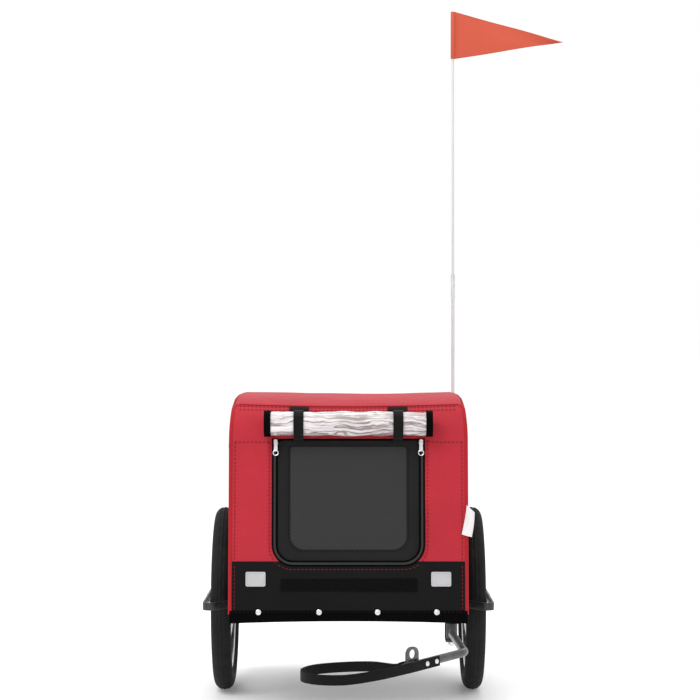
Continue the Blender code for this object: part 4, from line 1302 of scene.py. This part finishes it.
def build_tow_arm():
    along, outward = tow_frame()
    height, wall_radius = 0.0326, 0.011
    sleeve = [(0.0045, 0.0), (0.0102, 0.0), (wall_radius, 0.0008), (wall_radius, height - 0.0008),
              (0.0102, height), (0.0045, height)]
    collar = bmesh.new()
    lathe_into(collar, sleeve, 36, upright(TOW_PIVOT.x, TOW_PIVOT.y, h(0.1510)), ring=True)
    finish_piece("tow_sleeve", collar, "black_steel", "tow_arm", 35)
    bm = bmesh.new()
    sweep_into(bm, filleted([TOW_PIVOT, TOW_BEND, TOW_END], 0.040, 14), round_profile(TOW_RADIUS, 28))
    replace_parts(finish_piece("tow_tube", bm, "grey_steel", "tow_arm", 35), "tow_arm")
    radius = TOW_RADIUS + 0.0005
    bead = [
        TOW_PIVOT + Vector((radius * math.cos(a), -0.0105 - 0.001 * abs(math.cos(a)), radius * math.sin(a)))
        for a in circle(40)
    ]
    bead = [p + Vector((0, ripple(p, 900, 0.0004), 0)) for p in bead]
    weld = bmesh.new()
    sweep_into(weld, bead, round_profile(0.0015, 8), up=(0, 1, 0), closed=True)
    finish_piece("tow_weld", weld, "grey_steel", "tow_arm")
    cap = [(0, 0.0022), (0.0060, 0.0020), (0.0078, 0.0010), (0.0082, 0.0), (0.0082, -0.0004), (0, -0.0004)]
    plug = bmesh.new()
    lathe_into(plug, cap, 28, facing(TOW_END + along * 0.0004, along))
    finish_piece("tow_end_plug", plug, "plastic", "tow_arm")
    build_eye(along, outward)


def build_eye(along, outward):
    """The hitch's eye plate, with a round hole and softened edges, and its two weld beads."""
    flat = Vector((along.x, along.y, 0)).normalized()
    foot = TOW_END - along * 0.023
    half, top, rise, hole, corner = 0.016, 0.0354, 0.0221, 0.0085, 0.013

    def at(a, out, z):
        return foot + flat * a + outward * out + Vector((0, 0, z))

    outline = rounded(
        [(-half, 0.0035), (half, 0.0035), (half, top), (-half, top)], [0.001, 0.001, corner, corner], 10
    )
    outer = resample([p.to_3d() for p in outline], 0.0015, closed=True)
    turns = [math.atan2(p.y - rise, p.x) for p in outer]
    loops = []
    for inset, out in ((0.0006, 0.0025), (0.0, 0.0019), (0.0, -0.0019), (0.0006, -0.0025)):
        wide, tall = 1 - inset / half, 1 - inset / corner
        loops.append([at(p.x * wide, out, rise + (p.y - rise) * tall) for p in outer])
    for widen, out in ((0.0006, -0.0025), (0.0, -0.0019), (0.0, 0.0019), (0.0006, 0.0025)):
        radius = hole + widen
        loops.append([at(radius * math.cos(a), out, rise + radius * math.sin(a)) for a in turns])
    bm = bmesh.new()
    add_loops(bm, loops, closed_along=True, caps=False)
    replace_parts(finish_piece("hitch_eye_plate", bm, "grey_steel", "tow_arm", 35), "hitch_eye")
    weld = bmesh.new()
    for sign in LEFT, RIGHT:
        run = [at(d, sign * 0.0034, 0.0078) for d in spread(-0.0155, 0.0155, 30)]
        run = [p + outward * ripple(p, 800, 0.0005) for p in run]
        sweep_into(weld, run, round_profile(0.0014, 8))
    finish_piece("hitch_eye_weld", weld, "grey_steel", "tow_arm")


def strap_route():
    """The strap's middle line, on the same points as the CAD strap."""
    along, outward = tow_frame()
    beside = outward * (TOW_RADIUS + 0.001 + STRAP_THICKNESS / 2)
    front = [TOW_END - along * d - beside for d in (0.086, 0.046, 0.006)]
    back = [TOW_END - along * d + beside for d in (-0.014, 0.004, 0.019)]
    loop = [
        (0.056, -0.842, 0.1565), (0.000, -0.869, 0.1520), (-0.045, -0.869, 0.1515),
        (-0.078, -0.848, 0.1525), (-0.085, -0.812, 0.1545), (-0.060, -0.782, 0.1578),
        (-0.010, -0.769, 0.1602), (0.044, -0.782, 0.1632),
    ]
    return front + [Vector((x, y, h(z))) for x, y, z in loop] + back


def build_strap():
    """The safety strap's webbing, its two rivets, and a row of stitches near each edge."""
    along, outward = tow_frame()
    path = smooth_path(strap_route(), 14)
    bm = bmesh.new()
    sweep_into(bm, path, bar_profile(STRAP_THICKNESS, STRAP_WIDTH, 0.0007, 2))
    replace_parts(finish_piece("safety_strap_webbing", bm, "webbing", "tow_arm"), "safety_strap")
    dome = [(0, 0.0020), (0.0024, 0.0018), (0.0042, 0.0009), (0.0048, 0.0), (0.0048, -0.0004), (0, -0.0004)]
    for i, back in enumerate((0.078, 0.053)):
        rivet = bmesh.new()
        centre = TOW_END - along * back - outward * (TOW_RADIUS + 0.0033)
        lathe_into(rivet, dome, 24, facing(centre, -outward))
        finish_piece(f"strap_rivet_{i}", rivet, "zinc", "tow_arm")
    for k, height in enumerate((-0.0075, 0.0075)):
        row = [p + Vector((0, 0, height)) - outward * 0.0016 for p in path[28:60]]
        stitches(f"strap_stitches_{k}", row, -outward, "black_thread", "tow_arm", STRAP_STITCH, "webbing")


def build_bracket():
    """The channel under the frame that holds the tow arm's sleeve, and its bolt."""
    x, y = TOW_PIVOT.x, TOW_PIVOT.y
    wall, low, high = 0.004, 0.1507, 0.1839
    under, over = low - wall, high + wall
    back, front = y + 0.030, y - 0.016
    channel = [(front, over), (front, high), (back - wall, high), (back - wall, low),
               (front, low), (front, under), (back, under), (back, over)]
    bm = bmesh.new()
    across = (-0.013, -0.0124, 0.0124, 0.013)
    add_loops(bm, [[Vector((x + a, b, h(z))) for b, z in channel] for a in across])
    bracket = finish_piece("tow_bracket_channel", bm, "black_steel", smooth=20)
    bevel = bracket.modifiers.new("edges", "BEVEL")
    bevel.width = 0.0006
    bevel.segments = 2
    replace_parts(bracket, "tow_bracket")
    bolt = bmesh.new()
    hexagon = round_profile(0.0072, 6)
    for bottom, top in ((under - 0.0065, under - 0.0004), (over, over + 0.0002)):
        add_loops(bolt, [[Vector((x + a, y + b, h(z))) for a, b in hexagon] for z in (bottom, top)])
    tip = under - 0.0098
    shank = [(0, high), (0.004, high), (0.004, tip + 0.0008), (0.0034, tip), (0, tip)]
    lathe_into(bolt, shank, 20, upright(x, y, h(0)))
    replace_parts(finish_piece("tow_bolt_hex", bolt, "zinc", smooth=25), "tow_pivot_bolt")


# Flag

def pole_foot():
    """The pole's axis (x, y) and the height of its foot."""
    low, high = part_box("flag_pole_lower")
    return (low.x + high.x) / 2, (low.y + high.y) / 2, low.z


def build_pole():
    """The two lengths of the pole and the ferrule that joins them."""
    x, y, foot = pole_foot()
    place = upright(x, y)
    start, top = (corner.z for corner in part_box("flag_pole_upper"))
    radius, thin = 0.004, 0.0030
    lower = [(0, start), (radius, start), (radius, foot + 0.001), (radius - 0.001, foot), (0, foot)]
    upper = [(0, top), (0.0022, top - 0.0004), (thin, top - 0.002), (thin, start + 0.040),
             (thin, start), (0, start)]
    for name, section in (("lower", lower), ("upper", upper)):
        bm = bmesh.new()
        lathe_into(bm, section, 28, place)
        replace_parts(finish_piece(f"pole_{name}", bm, "pole", "flag"), f"flag_pole_{name}")
    ferrule = [(0.0031, 0.044), (0.0045, 0.043), (0.0048, 0.041), (0.0048, 0.004), (0.0044, -0.028),
               (0.0041, -0.029), (0.0029, -0.029), (0.0029, 0.044)]
    bm = bmesh.new()
    lathe_into(bm, ferrule, 28, upright(x, y, start), ring=True)
    finish_piece("pole_ferrule", bm, "zinc", "flag", 30)


def build_pennant():
    """The pennant, its sleeve round the pole, and its stitches."""
    x, y, _ = pole_foot()
    low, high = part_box("flag")
    height, length = high.z - low.z, high.x - x

    def cloth(u, v):
        """Flat at the pole and waving towards the point."""
        drop = 0.071 * u + height * (1 - u) * (1 - v)
        wave = 0.010 * math.sin(2.4 * math.pi * u + 0.4) * u + 0.003 * math.sin(7 * u + 5 * v) * u
        sag = 0.004 * u * u * (1 - u)
        return Vector((x + 0.0048 + (length - 0.0052) * u, y + wave, high.z - 0.0006 - drop * 0.992 - sag))

    upper_edge = 0.999  # the cloth ends just short of the sleeve's top
    pennant = cloth_sheet("pennant", 70, 28, lambda u, v: cloth(u, v * upper_edge), "flag", "flag", 0.0005)
    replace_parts(pennant, "flag")
    hem = [(0.0046, high.z - 0.0005), (0.0052, high.z - 0.0015), (0.0052, low.z + 0.0015),
           (0.0046, low.z + 0.0005), (0.0040, low.z + 0.0008), (0.0040, high.z - 0.0008)]

    def puckered(v):
        return Vector((x + v.x * (1 + 0.04 * math.sin(v.z * 260)), y + v.y, v.z))

    bm = bmesh.new()
    lathe_into(bm, hem, 24, puckered, ring=True)
    finish_piece("pennant_sleeve", bm, "flag", "flag")
    rows = {
        "": [(0.022, v) for v in spread(0.02, 0.98, 30)],
        "_top": [(u, 0.985) for u in spread(0.03, 0.93, 60)],
        "_foot": [(u, 0.015) for u in spread(0.03, 0.93, 60)],
    }
    for label, places in rows.items():
        row = [cloth(u, v) + Vector((0, -0.0004, 0)) for u, v in places]
        name = f"pennant_stitches{label}"
        stitches(name, row, (0, -1, 0), "dark_thread", "flag", FLAG_STITCH, "flag_cloth")


def build_socket():
    """The pole's socket with its collars, and its arm to the frame tube."""
    x, y, _ = pole_foot()
    base = h(0.1825)
    inside, wall, collar = 0.0046, 0.0066, 0.0070
    cup = [(inside, 0.0895), (0.0055, 0.0900), (collar, 0.0885), (collar, 0.0700), (wall, 0.0690),
           (wall, 0.0240), (collar, 0.0230), (collar, 0.0010), (0.0060, 0), (inside, 0.0002)]
    bm = bmesh.new()
    lathe_into(bm, cup, 32, upright(x, y, base), ring=True)
    start, end = Vector((0.199, 0.301, base + 0.0021)), Vector((x - 0.003, y - 0.003, base + 0.0021))
    sweep_into(bm, [start, start.lerp(end, 0.5), end], bar_profile(0.012, 0.0036, 0.0012, 3))
    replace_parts(finish_piece("pole_socket", bm, "plastic", smooth=35), "flag_socket")


# Floor mat

def build_mat():
    """A quilted mat: a crowned pad with sewn channels."""
    low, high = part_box("floor_mat")
    half_x, half_y = (high.x - low.x) / 2, (high.y - low.y) / 2
    quilt_x, quilt_y, thickness = 0.062, 0.098, 0.0132
    nx, ny = 66, 100
    bm = bmesh.new()

    def crown(u, v):
        edge = min(1.0, min(1 - abs(u), 1 - abs(v)) * 9)
        puff = math.sin(0.5 * math.pi * max(0.0, edge)) ** 0.6
        seams = math.sin(math.pi * u * half_x / quilt_x), math.sin(math.pi * v * half_y / quilt_y)
        channel = min(abs(seam) for seam in seams)
        return puff * (0.55 + 0.45 * min(1.0, channel * 3.2) ** 0.7)

    def layer(height):
        """A grid of vertices and faces, height(u, v) above the mat's underside."""
        grid = []
        for v in spread(-1, 1, ny):
            row = []
            for u in spread(-1, 1, nx):
                x, y = u * half_x * (1 - 0.012 * (1 - v * v)), v * half_y * (1 - 0.008 * (1 - u * u))
                row.append(bm.verts.new((x, y, low.z + 0.0004 + height(u, v))))
            grid.append(row)
        for a, b in zip(grid, grid[1:]):
            for i in range(nx):
                bm.faces.new((a[i], a[i + 1], b[i + 1], b[i]))
        return grid

    def rim(grid):
        """The grid's outer vertices in order."""
        right, left = [row[-1] for row in grid], [row[0] for row in grid]
        return grid[0] + right[1:] + grid[-1][-2::-1] + left[-2:0:-1]

    under = rim(layer(lambda u, v: 0.0))
    over = rim(layer(lambda u, v: 0.0012 + thickness * crown(u, v)))
    for i, vertex in enumerate(under):
        k = (i + 1) % len(under)
        bm.faces.new((vertex, under[k], over[k], over[i]))
    mat = finish_piece("quilted_mat", bm, "black", smooth=70)
    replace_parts(mat, "floor_mat")


def dress_cad():
    """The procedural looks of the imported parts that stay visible."""
    for look, nodes in CAD_LOOKS.items():
        for name in nodes:
            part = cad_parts[name]
            if not part.material_slots:
                part.data.materials.append(M[look])
            for slot in part.material_slots:
                slot.material = M[look]


make_camera()
make_studio()
dress_cad()
for end_name, end_turn in ENDS.items():
    build_end(end_name, end_turn)
build_canopy()
build_roll()
build_label()
build_side_tab()
# All of these are the covers or are sewn to them; each gets a mesh of its own
for piece in pieces:
    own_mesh(piece)
for wheel_side in SIDES:
    build_tyre(wheel_side)
    build_rim(wheel_side)
    build_hub(wheel_side)
    build_guard(wheel_side)
build_tow_arm()
build_strap()
build_bracket()
build_pole()
build_pennant()
build_socket()
build_mat()
